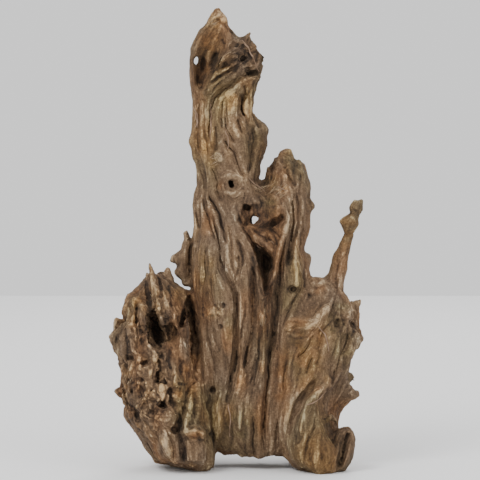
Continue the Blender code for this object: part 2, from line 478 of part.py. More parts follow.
def tree_of(obj):
    corners = [v.co.copy() for v in obj.data.vertices]
    return BVHTree.FromPolygons(corners, [tuple(p.vertices) for p in obj.data.polygons])


def skin_at(tree, x, z, side=-1, otherwise=0.0):
    """Depth at which a line of sight from the front, -1, or the back, 1, meets the wood, in millimetres."""
    spot = tree.ray_cast(Vector((x * MM, 0.4 * side, z * MM)), Vector((0, -side, 0)))[0]
    return spot.y / MM if spot else otherwise


def hollow(tree, name, rows):
    """Trough-shaped cutter, straight-sided out in front of the skin and round behind it."""
    rings = []
    for height, left, right, depth in rows:
        middle, across = (left + right) / 2, (right - left) / 2
        mouth = skin_at(tree, middle, height)
        ring = [(right, -90, height)]
        for i in range(13):
            turn = math.pi * i / 12
            ring.append((middle + across * math.cos(turn), mouth + depth * math.sin(turn), height))
        ring.append((left, -90, height))
        rings.append(ring)
    return mesh_object(name, *skin(rings))


def pit(tree, x, z, wide, high, depth, tilt, side=-1):
    """Egg-shaped cutter, its middle on the skin of the front, -1, or the back, 1."""
    y = skin_at(tree, x, z, side)
    lean = math.radians(tilt)
    rings = []
    for i in range(1, 12):
        polar = math.pi * i / 12
        ring = []
        for k in range(16):
            turn = 2 * math.pi * k / 16
            across = wide * math.sin(polar) * math.cos(turn)
            up = high * math.sin(polar) * math.sin(turn)
            ring.append((x + across * math.cos(lean) + up * math.sin(lean), y - depth * math.cos(polar),
                         z - across * math.sin(lean) + up * math.cos(lean)))
        rings.append(ring)
    return mesh_object("pit", *skin(rings))


def passage(x, z, wide, high, tilt):
    """Cutter right through from front to back."""
    lean = math.radians(tilt)
    rings = []
    for y in (-70, -20, 0, 20, 70):
        ring = []
        for k in range(16):
            turn = 2 * math.pi * k / 16
            across, up = wide * math.cos(turn), high * math.sin(turn)
            ring.append((x + across * math.cos(lean) + up * math.sin(lean), y,
                         z - across * math.sin(lean) + up * math.cos(lean)))
        rings.append(ring)
    return mesh_object("passage", *skin(rings))


def points_of(obj):
    points = np.empty(len(obj.data.vertices) * 3)
    obj.data.vertices.foreach_get("co", points)
    return points.reshape(-1, 3) / MM


def normals_of(obj):
    normals = np.empty(len(obj.data.vertices) * 3)
    obj.data.vertex_normals.foreach_get("vector", normals)
    return normals.reshape(-1, 3)


def put_points(obj, points):
    obj.data.vertices.foreach_set("co", (points * MM).ravel())
    obj.data.update()


def near_path(points, path):
    """For each point, how far it is from a path seen from the front, the width there and how far along."""
    track = np.array(path, float)
    lengths = np.hypot(*(track[1:, :2] - track[:-1, :2]).T)
    start = np.concatenate([[0], np.cumsum(lengths)])
    best = np.full(len(points), 1e9)
    width = np.zeros(len(points))
    share = np.zeros(len(points))
    for i in range(len(track) - 1):
        a, b = track[i], track[i + 1]
        run = b[:2] - a[:2]
        t = np.clip(((points[:, [0, 2]] - a[:2]) @ run) / (run @ run), 0, 1)
        gap = np.hypot(points[:, 0] - a[0] - t * run[0], points[:, 2] - a[1] - t * run[1])
        closer = gap < best
        best = np.where(closer, gap, best)
        width = np.where(closer, a[2] + t * (b[2] - a[2]), width)
        share = np.where(closer, (start[i] + t * lengths[i]) / start[-1], share)
    return best, width, share


def foremost(obj, points, side):
    """How far each point counts as skin seen from one side: -1 is the front and 1 the back."""
    tree = tree_of(obj)
    facing = np.clip(side * normals_of(obj)[:, 1] * 1.6, 0, 1)
    for i in np.nonzero(facing > 0)[0]:
        x, y, z = points[i]
        if side * (skin_at(tree, x, z, side, y) - y) > 7:
            facing[i] = 0
    return facing


def thickness(obj, points, chosen, side):
    """Wood straight behind each chosen point, in millimetres."""
    tree = tree_of(obj)
    room = np.full(len(points), 99.0)
    for i in np.nonzero(chosen)[0]:
        x, y, z = points[i]
        spot = tree.ray_cast(Vector((x, y - 0.5 * side, z)) * MM, Vector((0, -side, 0)))[0]
        if spot:
            room[i] = abs(spot.y / MM - y)
    return room


def sculpt(obj, side, swells, cracks):
    """Raise the swells and press in the cracks on the skin seen from one side."""
    points = points_of(obj)
    facing = foremost(obj, points, side)
    room = thickness(obj, points, facing > 0, side)
    push = np.zeros(len(points))
    for height, path in swells:
        gap, width, share = near_path(points, path)
        shape = np.clip(1 - (gap / (0.62 * width)) ** 2, 0, 1) ** 1.5
        ends = np.clip(np.minimum(share, 1 - share) * 8 + 0.35, 0, 1)
        push -= height * SWELL_STRENGTH * shape * ends
    for depth, path in cracks:
        gap, width, share = near_path(points, path)
        half = 0.5 * width + 1.2
        shape = np.clip(1 - gap / half, 0, 1) ** 0.8
        ends = np.clip(np.minimum(share, 1 - share) * 10 + 0.25, 0, 1)
        push += depth * CRACK_STRENGTH * shape * ends
    points[:, 1] -= side * np.minimum(push, np.maximum(room - 5, 0)) * facing
    put_points(obj, points)


def long_cracks(dice, table, near, far, shallow, deep):
    """Cracks up the masses, each keeping its place between the edges in the columns near and far."""
    cracks = []
    for name, (count, low, high) in table.items():
        rows = MASSES[name]
        for k in range(count):
            share = (k + 0.5 + dice.uniform(-0.3, 0.3)) / count
            start = dice.uniform(low, low + 0.5 * (high - low))
            stop = min(high, start + dice.uniform(0.35, 0.8) * (high - low))
            wide = dice.uniform(3.5, 7)
            path = []
            for row in fine_rows(rows, 12.0):
                if start <= row[0] <= stop:
                    drift = 0.09 * noise.noise(Vector((share * 9, row[0] / 30, 2.5)))
                    belly = math.sin(math.pi * (row[0] - start) / (stop - start))
                    path.append((row[near] + (share + drift) * (row[far] - row[near]), row[0],
                                 wide * (0.7 + 0.6 * belly)))
            if len(path) > 2:
                cracks.append((dice.uniform(shallow, deep), path))
    return cracks


def turned(obj, quarter):
    """Turn the mesh a quarter about +Z: 1 brings its right side to the front, -1 its left side."""
    x, y, z = points_of(obj).T
    put_points(obj, np.stack([quarter * y, -quarter * x, z], axis=1))


def sculpt_side(obj, quarter, cracks):
    turned(obj, quarter)
    sculpt(obj, -1, [], cracks)
    turned(obj, -quarter)


def billow(place):
    """Round ridges with sharp furrows between them."""
    return 2.4 * abs(noise.noise(place)) - 0.5


def grain(obj):
    """Long flutes up the trunk and knobbly swellings on the burl, pressed in along the normals."""
    points = points_of(obj)
    normals = normals_of(obj)
    out = np.zeros(len(points))
    for i, (x, y, z) in enumerate(points):
        side = min(abs(x - 10) / 90, 1) * math.copysign(1, x - 10)
        lean = x - FLOW * (z - 120) * side
        flute = (billow(Vector((lean * 0.058, y * 0.058, z * 0.008 + 5)))
                 + 0.45 * billow(Vector((lean * 0.12, y * 0.12, z * 0.016 + 9))))
        lump = (billow(Vector((x * 0.042, y * 0.042, z * 0.034 + 3)))
                + 0.5 * billow(Vector((x * 0.09, y * 0.09, z * 0.07 + 8))))
        knot = min(max((-36 - x) / 10, 0), 1) * min(max((165 - z) / 15, 0), 1)
        slim = min(max((z - 290) / 60, 0), 1) * 0.45
        thin = 1 - 0.75 * min(max((x - 74) / 6, 0), 1) * min(max((z - 158) / 8, 0), 1)
        front = 1 - (0.45 - 0.35 * knot) * min(max(-normals[i, 1], 0), 1)
        edge = 1 - 0.45 * abs(normals[i, 0])
        height = (1 - knot) * (1 - slim) * FLUTE * flute + (0.3 + 0.7 * knot) * LUMP * lump
        out[i] = height * thin * front * edge
    put_points(obj, points + normals * out[:, None])


def largest_body(bm):
    """Drop every island but the biggest."""
    seen, bodies = set(), []
    for start in bm.verts:
        if start in seen:
            continue
        body, queue = [], [start]
        seen.add(start)
        while queue:
            vert = queue.pop()
            body.append(vert)
            for edge in vert.link_edges:
                other = edge.other_vert(vert)
                if other not in seen:
                    seen.add(other)
                    queue.append(other)
        bodies.append(body)
    bodies.sort(key=len)
    for body in bodies[:-1]:
        bmesh.ops.delete(bm, geom=body, context="VERTS")


def keep_largest(obj):
    bm = bmesh.new()
    bm.from_mesh(obj.data)
    largest_body(bm)
    bm.to_mesh(obj.data)
    bm.free()


def upright(obj):
    """The tables hold heights as the camera sees them from a little above. This takes that slope out."""
    points = points_of(obj)
    points[:, 2] -= math.tan(math.radians(LOOK_DOWN)) * (points[:, 1] - NEAR_FOOT)
    points *= HEIGHT / points[:, 2].max()
    put_points(obj, points)


def decimated(obj, most):
    tri = obj.modifiers.new("tri", "TRIANGULATE")
    tri.quad_method = "SHORTEST_DIAGONAL"
    apply_modifiers(obj)
    behind = np.clip(normals_of(obj)[:, 1] * 1.5 + 0.6, 0.2, 1)
    coarse = obj.vertex_groups.new(name="coarse")
    for i, share in enumerate(behind):
        coarse.add([i], float(share), "REPLACE")
    thin = obj.modifiers.new("thin", "DECIMATE")
    thin.ratio = most / len(obj.data.polygons)
    thin.use_collapse_triangulate = True
    thin.vertex_group = "coarse"
    thin.vertex_group_factor = FRONT_FAVOUR
    apply_modifiers(obj)
    obj.vertex_groups.clear()


def floor_cut(obj):
    box = [(x, y, z) for z in (FLOOR_CUT - 60, FLOOR_CUT) for y in (-200, 200) for x in (-200, 200)]
    floor = mesh_object("floor_cutter", box, [(0, 2, 3, 1), (4, 5, 7, 6), (0, 1, 5, 4), (2, 6, 7, 3),
    (0, 4, 6, 2),
                                              (1, 3, 7, 5)])
    cut(obj, floor)


def finish(obj):
    bm = bmesh.new()
    bm.from_mesh(obj.data)
    bmesh.ops.remove_doubles(bm, verts=bm.verts, dist=0.00005)
    bmesh.ops.dissolve_degenerate(bm, edges=bm.edges, dist=0.00005)
    largest_body(bm)
    bmesh.ops.triangulate(bm, faces=bm.faces)
    bmesh.ops.recalc_face_normals(bm, faces=bm.faces)
    low = [min(v.co[k] for v in bm.verts) for k in range(3)]
    high = [max(v.co[k] for v in bm.verts) for k in range(3)]
    bmesh.ops.translate(bm, verts=bm.verts, vec=(-(low[0] + high[0]) / 2, -(low[1] + high[1]) / 2, -low[2]))
    bad = sum(not e.is_manifold for e in bm.edges)
    bm.to_mesh(obj.data)
    bm.free()
    print(NODE, len(obj.data.polygons), "triangles,", bad, "open edges")


def wood_material():
    wood = bpy.data.materials.new("driftwood")
    wood.use_nodes = True
    shader = wood.node_tree.nodes["Principled BSDF"]
    shader.inputs["Base Color"].default_value = (0.20, 0.125, 0.075, 1)
    shader.inputs["Roughness"].default_value = 0.88
    return wood


def build():
    clear_scene()
    pieces = [mass(name, rows) for name, rows in MASSES.items()]
    pieces += [tube(name, path) for name, path in SPURS.items()]
    dice = random.Random(SEED)
    for name, (count, first, last, radius, proud) in ROPES.items():
        for k in range(count):
            turn = math.radians(first + (last - first) * (k + dice.uniform(-0.2, 0.2)) / count)
            pieces.append(rope(f"{name}_rope_{k}", MASSES[name], turn, radius * dice.uniform(0.8, 1.25),
                               proud, dice.uniform(0, 50)))
    root = joined(NODE, pieces)
    grown_together(root, VOXEL)
    softened(root, 0.5, 2)
    grain(root)
    tree = tree_of(root)
    cutters = [hollow(tree, name, rows) for name, rows in HOLLOWS.items()]
    cutters += [pit(tree, *row) for row in PITS]
    cutters += [pit(tree, *row, side=1) for row in BACK_PITS]
    cutters += [passage(*row) for row in THROUGH]
    hollows = joined("hollows", cutters)
    grown_together(hollows, 1.0)
    cut(root, hollows)
    keep_largest(root)
    sculpt(root, -1, SWELLS, CRACKS)
    sculpt(root, 1, [], long_cracks(dice, BACK_CRACKS, LEFT, RIGHT, 5, 9))
    sculpt_side(root, 1, long_cracks(dice, RIGHT_CRACKS, FRONT, BACK, 2.5, 5))
    mirrored = [(depth, [(-y, z, width) for y, z, width in path])
                for depth, path in long_cracks(dice, LEFT_CRACKS, FRONT, BACK, 2.5, 5)]
    sculpt_side(root, -1, mirrored)
    grown_together(root, VOXEL * 0.85)
    softened(root, 0.4, 1)
    keep_largest(root)
    upright(root)
    decimated(root, MOST_TRIANGLES)
    floor_cut(root)
    finish(root)
    root.name = NODE
    root.data.name = NODE
    root.data.materials.clear()
    root.data.materials.append(wood_material())


build()
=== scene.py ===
import math
import random
import time

import bmesh
import bpy
import numpy as np
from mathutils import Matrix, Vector
from mathutils.bvhtree import BVHTree


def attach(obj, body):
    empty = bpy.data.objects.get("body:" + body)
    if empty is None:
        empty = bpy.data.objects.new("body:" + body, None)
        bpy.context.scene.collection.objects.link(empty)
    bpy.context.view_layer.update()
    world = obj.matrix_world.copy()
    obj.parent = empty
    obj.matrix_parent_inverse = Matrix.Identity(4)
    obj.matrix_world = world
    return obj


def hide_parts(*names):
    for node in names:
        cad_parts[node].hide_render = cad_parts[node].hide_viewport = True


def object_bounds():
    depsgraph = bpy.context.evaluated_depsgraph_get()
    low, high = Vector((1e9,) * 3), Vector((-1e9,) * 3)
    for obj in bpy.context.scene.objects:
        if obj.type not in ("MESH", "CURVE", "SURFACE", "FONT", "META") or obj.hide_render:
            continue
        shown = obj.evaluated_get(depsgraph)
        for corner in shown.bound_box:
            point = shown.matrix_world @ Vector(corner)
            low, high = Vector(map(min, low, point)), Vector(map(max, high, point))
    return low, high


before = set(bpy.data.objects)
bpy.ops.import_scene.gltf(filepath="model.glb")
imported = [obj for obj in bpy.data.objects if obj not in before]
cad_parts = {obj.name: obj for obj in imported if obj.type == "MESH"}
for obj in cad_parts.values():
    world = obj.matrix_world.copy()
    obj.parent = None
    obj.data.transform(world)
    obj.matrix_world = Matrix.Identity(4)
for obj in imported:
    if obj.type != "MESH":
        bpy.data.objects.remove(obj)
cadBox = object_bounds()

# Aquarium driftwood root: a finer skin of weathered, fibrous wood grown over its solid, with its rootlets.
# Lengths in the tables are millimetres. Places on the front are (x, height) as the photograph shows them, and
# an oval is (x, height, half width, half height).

started = time.time()
mm = 0.001


def report(stage):
    print(f"{stage} ({time.time() - started:.0f} s)")


report("solid loaded")

# How a place on the front in the photograph relates to a place on the solid
sight = {
    "lookDown": 5.0,         # degrees that the camera looks down
    "nearFoot": -50.0,       # depth of the foot that stands nearest
    "grow": 1.00694,         # size of the solid against the places in the tables
    "shift": 0.77,           # how far it then moved left and forward
    "rayStart": -200,        # depth in front of the root that rays start from
}
slope = math.tan(math.radians(sight["lookDown"]))


def asSeen(points):
    # (x, height) on the front of points in millimetres
    x = (points[:, 0] + sight["shift"]) / sight["grow"]
    y = (points[:, 1] + sight["shift"]) / sight["grow"]
    return np.stack([x, points[:, 2] / sight["grow"] + slope * (y - sight["nearFoot"])], axis=1)


def onWood(tree, x, height, lift):
    # The spot of the wood that shows at a place in the photograph, raised by lift
    depth = sight["rayStart"]
    back = (depth + sight["shift"]) / sight["grow"] - sight["nearFoot"]
    start = Vector((x * sight["grow"] - sight["shift"], depth, (height - slope * back) * sight["grow"])) * mm
    hit, normal = tree.ray_cast(start, Vector((0, 1, -slope)).normalized())[:2]
    return hit + normal * lift * mm if hit else None


# How the ovals of each table fade out, as (top, fall): top less fall times the distance, 1 on the rim
ovalEdges = {"ragged": (2, 1.6), "mouths": (1.8, 1), "filled": (1.6, 1), "patches": (1.5, 1),
             "burl": (1.6, 1.4), "worn": (2.4, 2)}


def ovalShare(seen, oval, table):
    # How much each seen place belongs to an oval, from 0 to 1
    top, fall = ovalEdges[table]
    x, height, halfWide, halfTall = oval
    away = np.hypot((seen[:, 0] - x) / halfWide, (seen[:, 1] - height) / halfTall)
    return np.clip(top - fall * away, 0, 1)


def rampUp(values, start, over):
    # From 0 to 1 as the values pass from start to start + over
    return np.clip((values - start) / over, 0, 1)


def placed(name, data):
    obj = bpy.data.objects.new(name, data)
    bpy.context.scene.collection.objects.link(obj)
    return obj


def pointsOf(obj):
    points = np.empty(len(obj.data.vertices) * 3)
    obj.data.vertices.foreach_get("co", points)
    return points.reshape(-1, 3) / mm


def normalsOf(obj):
    normals = np.empty(len(obj.data.vertices) * 3)
    obj.data.vertex_normals.foreach_get("vector", normals)
    return normals.reshape(-1, 3)


def putPoints(obj, points):
    obj.data.vertices.foreach_set("co", (points * mm).ravel())
    obj.data.update()


def applyModifiers(obj):
    graph = bpy.context.evaluated_depsgraph_get()
    graph.update()
    mesh = bpy.data.meshes.new_from_object(obj.evaluated_get(graph))
    obj.modifiers.clear()
    obj.data = mesh


def treeOf(obj):
    corners = [v.co.copy() for v in obj.data.vertices]
    return BVHTree.FromPolygons(corners, [tuple(p.vertices) for p in obj.data.polygons])


# Noise

def cellCode(cell):
    # One whole number for each cell of a grid, very different from cell to cell
    return (cell[:, 0] * 73856093) ^ (cell[:, 1] * 19349663) ^ (cell[:, 2] * 83492791)


def cellNoise(points, size, seed, upright=1):
    # Smooth random field in space, with features of one size that stretch upwards where upright is below 1
    spots = points * (1, 1, upright) / size + 97.13 * seed
    base = np.floor(spots).astype(np.int64)
    part = spots - base
    part = part * part * (3 - 2 * part)
    total = np.zeros(len(points))
    for corner in range(8):
        step = np.array([corner & 1, corner >> 1 & 1, corner >> 2 & 1])
        mixed = cellCode(base + step) ^ (seed * 2654435761)
        mixed = (mixed ^ (mixed >> 13)) * 1274126177
        mixed = (mixed ^ (mixed >> 16)) & 0xFFFFFF
        weight = np.prod(np.where(step, part, 1 - part), axis=1)
        total += weight * (mixed / 0x7FFFFF - 1)
    return total


def roughNoise(points, size, seed):
    # The same with features of half the size laid over it
    return cellNoise(points, size, seed) + 0.5 * cellNoise(points, size / 2, seed + 1)


def nearSeeds(points, size, seed):
    # Distance to the nearest and the second nearest of scattered seeds, and a random number of the nearest
    spots = points / size + 13.7 * seed
    base = np.floor(spots).astype(np.int64)
    first = np.full(len(points), 9.0)
    second = np.full(len(points), 9.0)
    luck = np.zeros(len(points))
    for corner in range(27):
        cell = base + np.array([corner % 3 - 1, corner // 3 % 3 - 1, corner // 9 - 1])
        code = cellCode(cell)
        drawn = []
        for axis in range(4):
            mixed = (code ^ ((axis + 4 * seed) * 2654435761)) * 1274126177
            mixed = ((mixed ^ (mixed >> 15)) * 2246822519) & 0xFFFFFFFF
            drawn.append(((mixed ^ (mixed >> 13)) & 0xFFFF) / 0xFFFF)
        gap = np.sqrt(sum((cell[:, k] + drawn[k] - spots[:, k]) ** 2 for k in range(3)))
        closer = gap < first
        second = np.where(closer, first, np.minimum(second, gap))
        luck = np.where(closer, drawn[3], luck)
        first = np.where(closer, gap, first)
    return first, second, luck


# The skin

skin = {
    "merge": 0.02,           # corners of the solid that lie this near are one
    "voxel": 0.92,           # grid of the fine skin
    "smoothing": 12,         # rounds that take the solid's facets out
    "drawIn": 0.55,          # share of the way to the neighbours' middle that each round draws in
    "pushOut": 0.57,         # and pushes out again
    "front": 2.2,            # how soon skin that turns to the camera counts as front
    "rayRun": 400,           # how far before the skin the rays start that tell what hides it
    "hidden": 3,             # skin this far behind what the ray meets is hidden
    "frontSoft": 2,          # rounds that soften the border of the front
    "raggedSize": 6,         # of the bites in the broken edges of the hollows
}


def fineSkin():
    # A copy of the solid's mesh, merged and rebuilt on a fine grid
    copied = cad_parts["driftwood_root"].data.copy()
    bm = bmesh.new()
    bm.from_mesh(copied)
    bmesh.ops.remove_doubles(bm, verts=bm.verts, dist=skin["merge"] * mm)
    bm.to_mesh(copied)
    bm.free()
    copied.materials.clear()
    wood = placed("weathered_wood", copied)
    grid = wood.modifiers.new("grid", "REMESH")
    grid.mode = "VOXEL"
    grid.voxel_size = skin["voxel"] * mm
    tri = wood.modifiers.new("tri", "TRIANGULATE")
    tri.quad_method = "SHORTEST_DIAGONAL"
    applyModifiers(wood)
    return wood


def ringsOf(obj):
    # For each vertex its neighbours, padded with the vertex itself, and their number
    edges = np.empty(len(obj.data.edges) * 2, np.int32)
    obj.data.edges.foreach_get("vertices", edges)
    edges = edges.reshape(-1, 2)
    both = np.concatenate([edges, edges[:, ::-1]])
    both = both[np.argsort(both[:, 0], kind="stable")]
    count = np.bincount(both[:, 0], minlength=len(obj.data.vertices))
    start = np.concatenate([[0], np.cumsum(count)[:-1]])
    rings = np.repeat(np.arange(len(count), dtype=np.int32)[:, None], count.max(), axis=1)
    column = np.arange(len(both)) - start[both[:, 0]]
    rings[both[:, 0], column] = both[:, 1]
    return rings, count


def ringMean(values):
    # Average over the neighbours of each vertex
    total = values[rings[:, 0]].copy()
    for column in range(1, rings.shape[1]):
        total += values[rings[:, column]]
    slack, count = rings.shape[1] - ringCount, ringCount
    if values.ndim > 1:
        slack, count = slack[:, None], count[:, None]
    return (total - values * slack) / count


def spread(values, times):
    for _ in range(times):
        values = 0.5 * values + 0.5 * ringMean(values)
    return values


def withoutFacets(points):
    # Evens out the skin without thinning its twigs: each round draws in, then pushes out
    for _ in range(skin["smoothing"]):
        points = points + skin["drawIn"] * (ringMean(points) - points)
        points = points - skin["pushOut"] * (ringMean(points) - points)
    return points


def seenShare(obj, points, normals):
    # How far each vertex counts as skin that the camera sees, from 0 to 1
    tree = treeOf(obj)
    down = math.radians(sight["lookDown"])
    back = Vector((0, math.cos(down), -math.sin(down)))
    facing = np.clip(-(normals @ np.array(back)) * skin["front"], 0, 1)
    for i in np.nonzero(facing > 0)[0]:
        spot = Vector(points[i]) * mm
        hit = tree.ray_cast(spot - back * (skin["rayRun"] * mm), back)[0]
        if hit and (spot - hit).dot(back) > skin["hidden"] * mm:
            facing[i] = 0
    return spread(facing, skin["frontSoft"])


# Places where the solid's outline strays from the photograph and is drawn to it, as
# (x, height, reach, right, up)
pulls = [
    # tall spire
    (-22, 392, 7, 1.2, -1.0), (-9, 390, 5, 1.8, 0), (3, 379, 6, -0.8, -2.2), (10.5, 375, 2.8, 2.2, 4.0),
    (17, 369, 4, 1.6, 0.8), (21, 362, 5, 3.6, 0.5), (21, 350, 6, 4.0, 0), (22.5, 357, 2.5, -1.0, 0),
    (18, 340, 5, 3.0, 0), (16, 331, 5, 2.0, 0), (14, 318, 7, 2.2, 0), (18, 306, 4, -0.4, -1.0),
    (25, 297, 6, 3.4, 0.4), (25, 284, 7, 2.4, 0), (23, 270, 6, 1.8, 0), (20, 258, 5, 1.8, 0.4),
    (23, 251, 3, 0, 2.0), (27, 257, 4, -1.6, 0), (-38, 358, 9, 0.9, 0), (-34, 354, 4, -1.2, 1.0),
    (-38, 287, 6, -1.5, 0), (-36, 272, 6, -1.5, 0), (-33, 254, 6, -0.9, 0),
    # second spire
    (34, 271, 5, -2.0, 2.0), (40, 276, 4, -0.6, 1.8), (45, 277, 3, 0.6, 1.4), (51, 271, 2.6, -0.4, -1.4),
    (56, 267, 4, 1.4, 1.8), (61, 260, 5, 2.0, 0), (63, 246, 6, 1.2, 0), (64.5, 230, 3.6, 3.0, 0),
    (63, 214, 6, 0.9, 0), (61, 192, 5, -1.0, 0),
    # arm and flank
    (73, 170, 7, 0, -3.6), (94, 217, 4.5, -2.4, 0), (99, 230, 4, -1.2, 0), (97.5, 224, 2.2, 1.0, 0),
    (91, 200, 6, -1.8, 0), (86, 187, 6, -2.0, 0), (83, 177, 5, -1.2, 0), (110, 231, 4, -1.2, 0),
    (107, 218, 4, -1.0, 0), (102, 206, 3, 0.9, 0), (96, 176, 5, 0.9, 0), (93, 161, 5, 0.9, 0),
    (106, 148, 3.6, 1.8, 1.2), (107, 121, 6, 2.8, 0), (103, 105, 6, 2.2, -0.4), (99, 92, 5, 1.0, 0),
    (97.5, 77, 4, 4.4, 0), (105, 68, 4, 1.2, 0),
    # burl and the stub above it
    (-86, 160, 8, 1.4, -3.6), (-73, 180, 3, -0.6, 2.4), (-70, 174, 2.2, 0.4, -1.6), (-57, 176, 4, 0.6, 1.2),
    (-54, 182, 5, -2.6, -1.2), (-51.5, 176, 3, -4.2, -1.4), (-49, 172, 5, -3.0, -2.2),
    (-43, 163, 5, -2.6, -2.4), (-56, 168, 3, 1.4, 0.6), (-48, 158, 4, 0.4, 1.6), (-46, 202, 5, 1.4, 0),
    (-97, 146, 4, -1.0, 0), (-98.5, 134, 3.4, 3.6, -3.0), (-105, 133, 3, 0.4, 0.6), (-106, 112, 5, -2.0, 0),
    (-104, 104, 6, -2.2, 0), (-100, 92, 5, -1.6, 0), (-98, 80, 4.4, -2.6, 0), (-100, 71, 4.4, -3.6, 0),
    (-97, 62, 5, -2.0, 0), (-94, 48, 7, -1.4, 0),
    # mouth of the burl, knot hole and the tall spire's side slot
    (-71, 147, 5, 1.5, -6.0), (-64.5, 121, 5, 4.0, -1.0), (-67, 107, 4, 3.0, -3.0),
    (-75, 116, 4, -1.6, -1.0), (-6.8, 248, 2.4, 1.0, 0.3), (-0.8, 250, 2.4, -1.0, -0.3),
]

# Places where the edges of the hollows are broken, as (*oval, amount)
ragged = [
    (-68, 124, 16, 28, 2.6), (-41, 125, 12, 40, 2.0), (20, 215, 24, 24, 1.6), (26, 180, 10, 24, 1.0),
    (8, 352, 18, 22, 1.4), (-75, 75, 30, 40, 1.0), (40, 268, 20, 14, 1.6), (-24, 350, 14, 20, 0.8),
]


def drawnOut(points):
    # The points moved sideways and up so that the outline follows the photograph
    seen = asSeen(points)
    moves, weights = np.zeros((len(points), 2)), np.zeros(len(points))
    for x, height, reach, right, up in pulls:
        weight = np.exp(-((seen - (x, height)) ** 2).sum(axis=1) / reach ** 2)
        moves += weight[:, None] * (right, up)
        weights += weight
    moves /= np.maximum(weights, 1)[:, None]
    amounts = np.zeros(len(points))
    for *oval, amount in ragged:
        amounts = np.maximum(amounts, amount * ovalShare(seen, oval, "ragged"))
    bites = [roughNoise(points, skin["raggedSize"], seed) for seed in (45, 47)]
    moves += amounts[:, None] * np.stack(bites, axis=1)
    return points + np.stack([moves[:, 0], np.zeros(len(points)), moves[:, 1]], axis=1)


wood = fineSkin()
report(f"fine skin of {len(wood.data.vertices)} vertices")
rings, ringCount = ringsOf(wood)
points = drawnOut(withoutFacets(pointsOf(wood)))
putPoints(wood, points)
normals = normalsOf(wood)
report("facets out")
facing = seenShare(wood, points, normals)
report("front found")


# Lines traced on the front

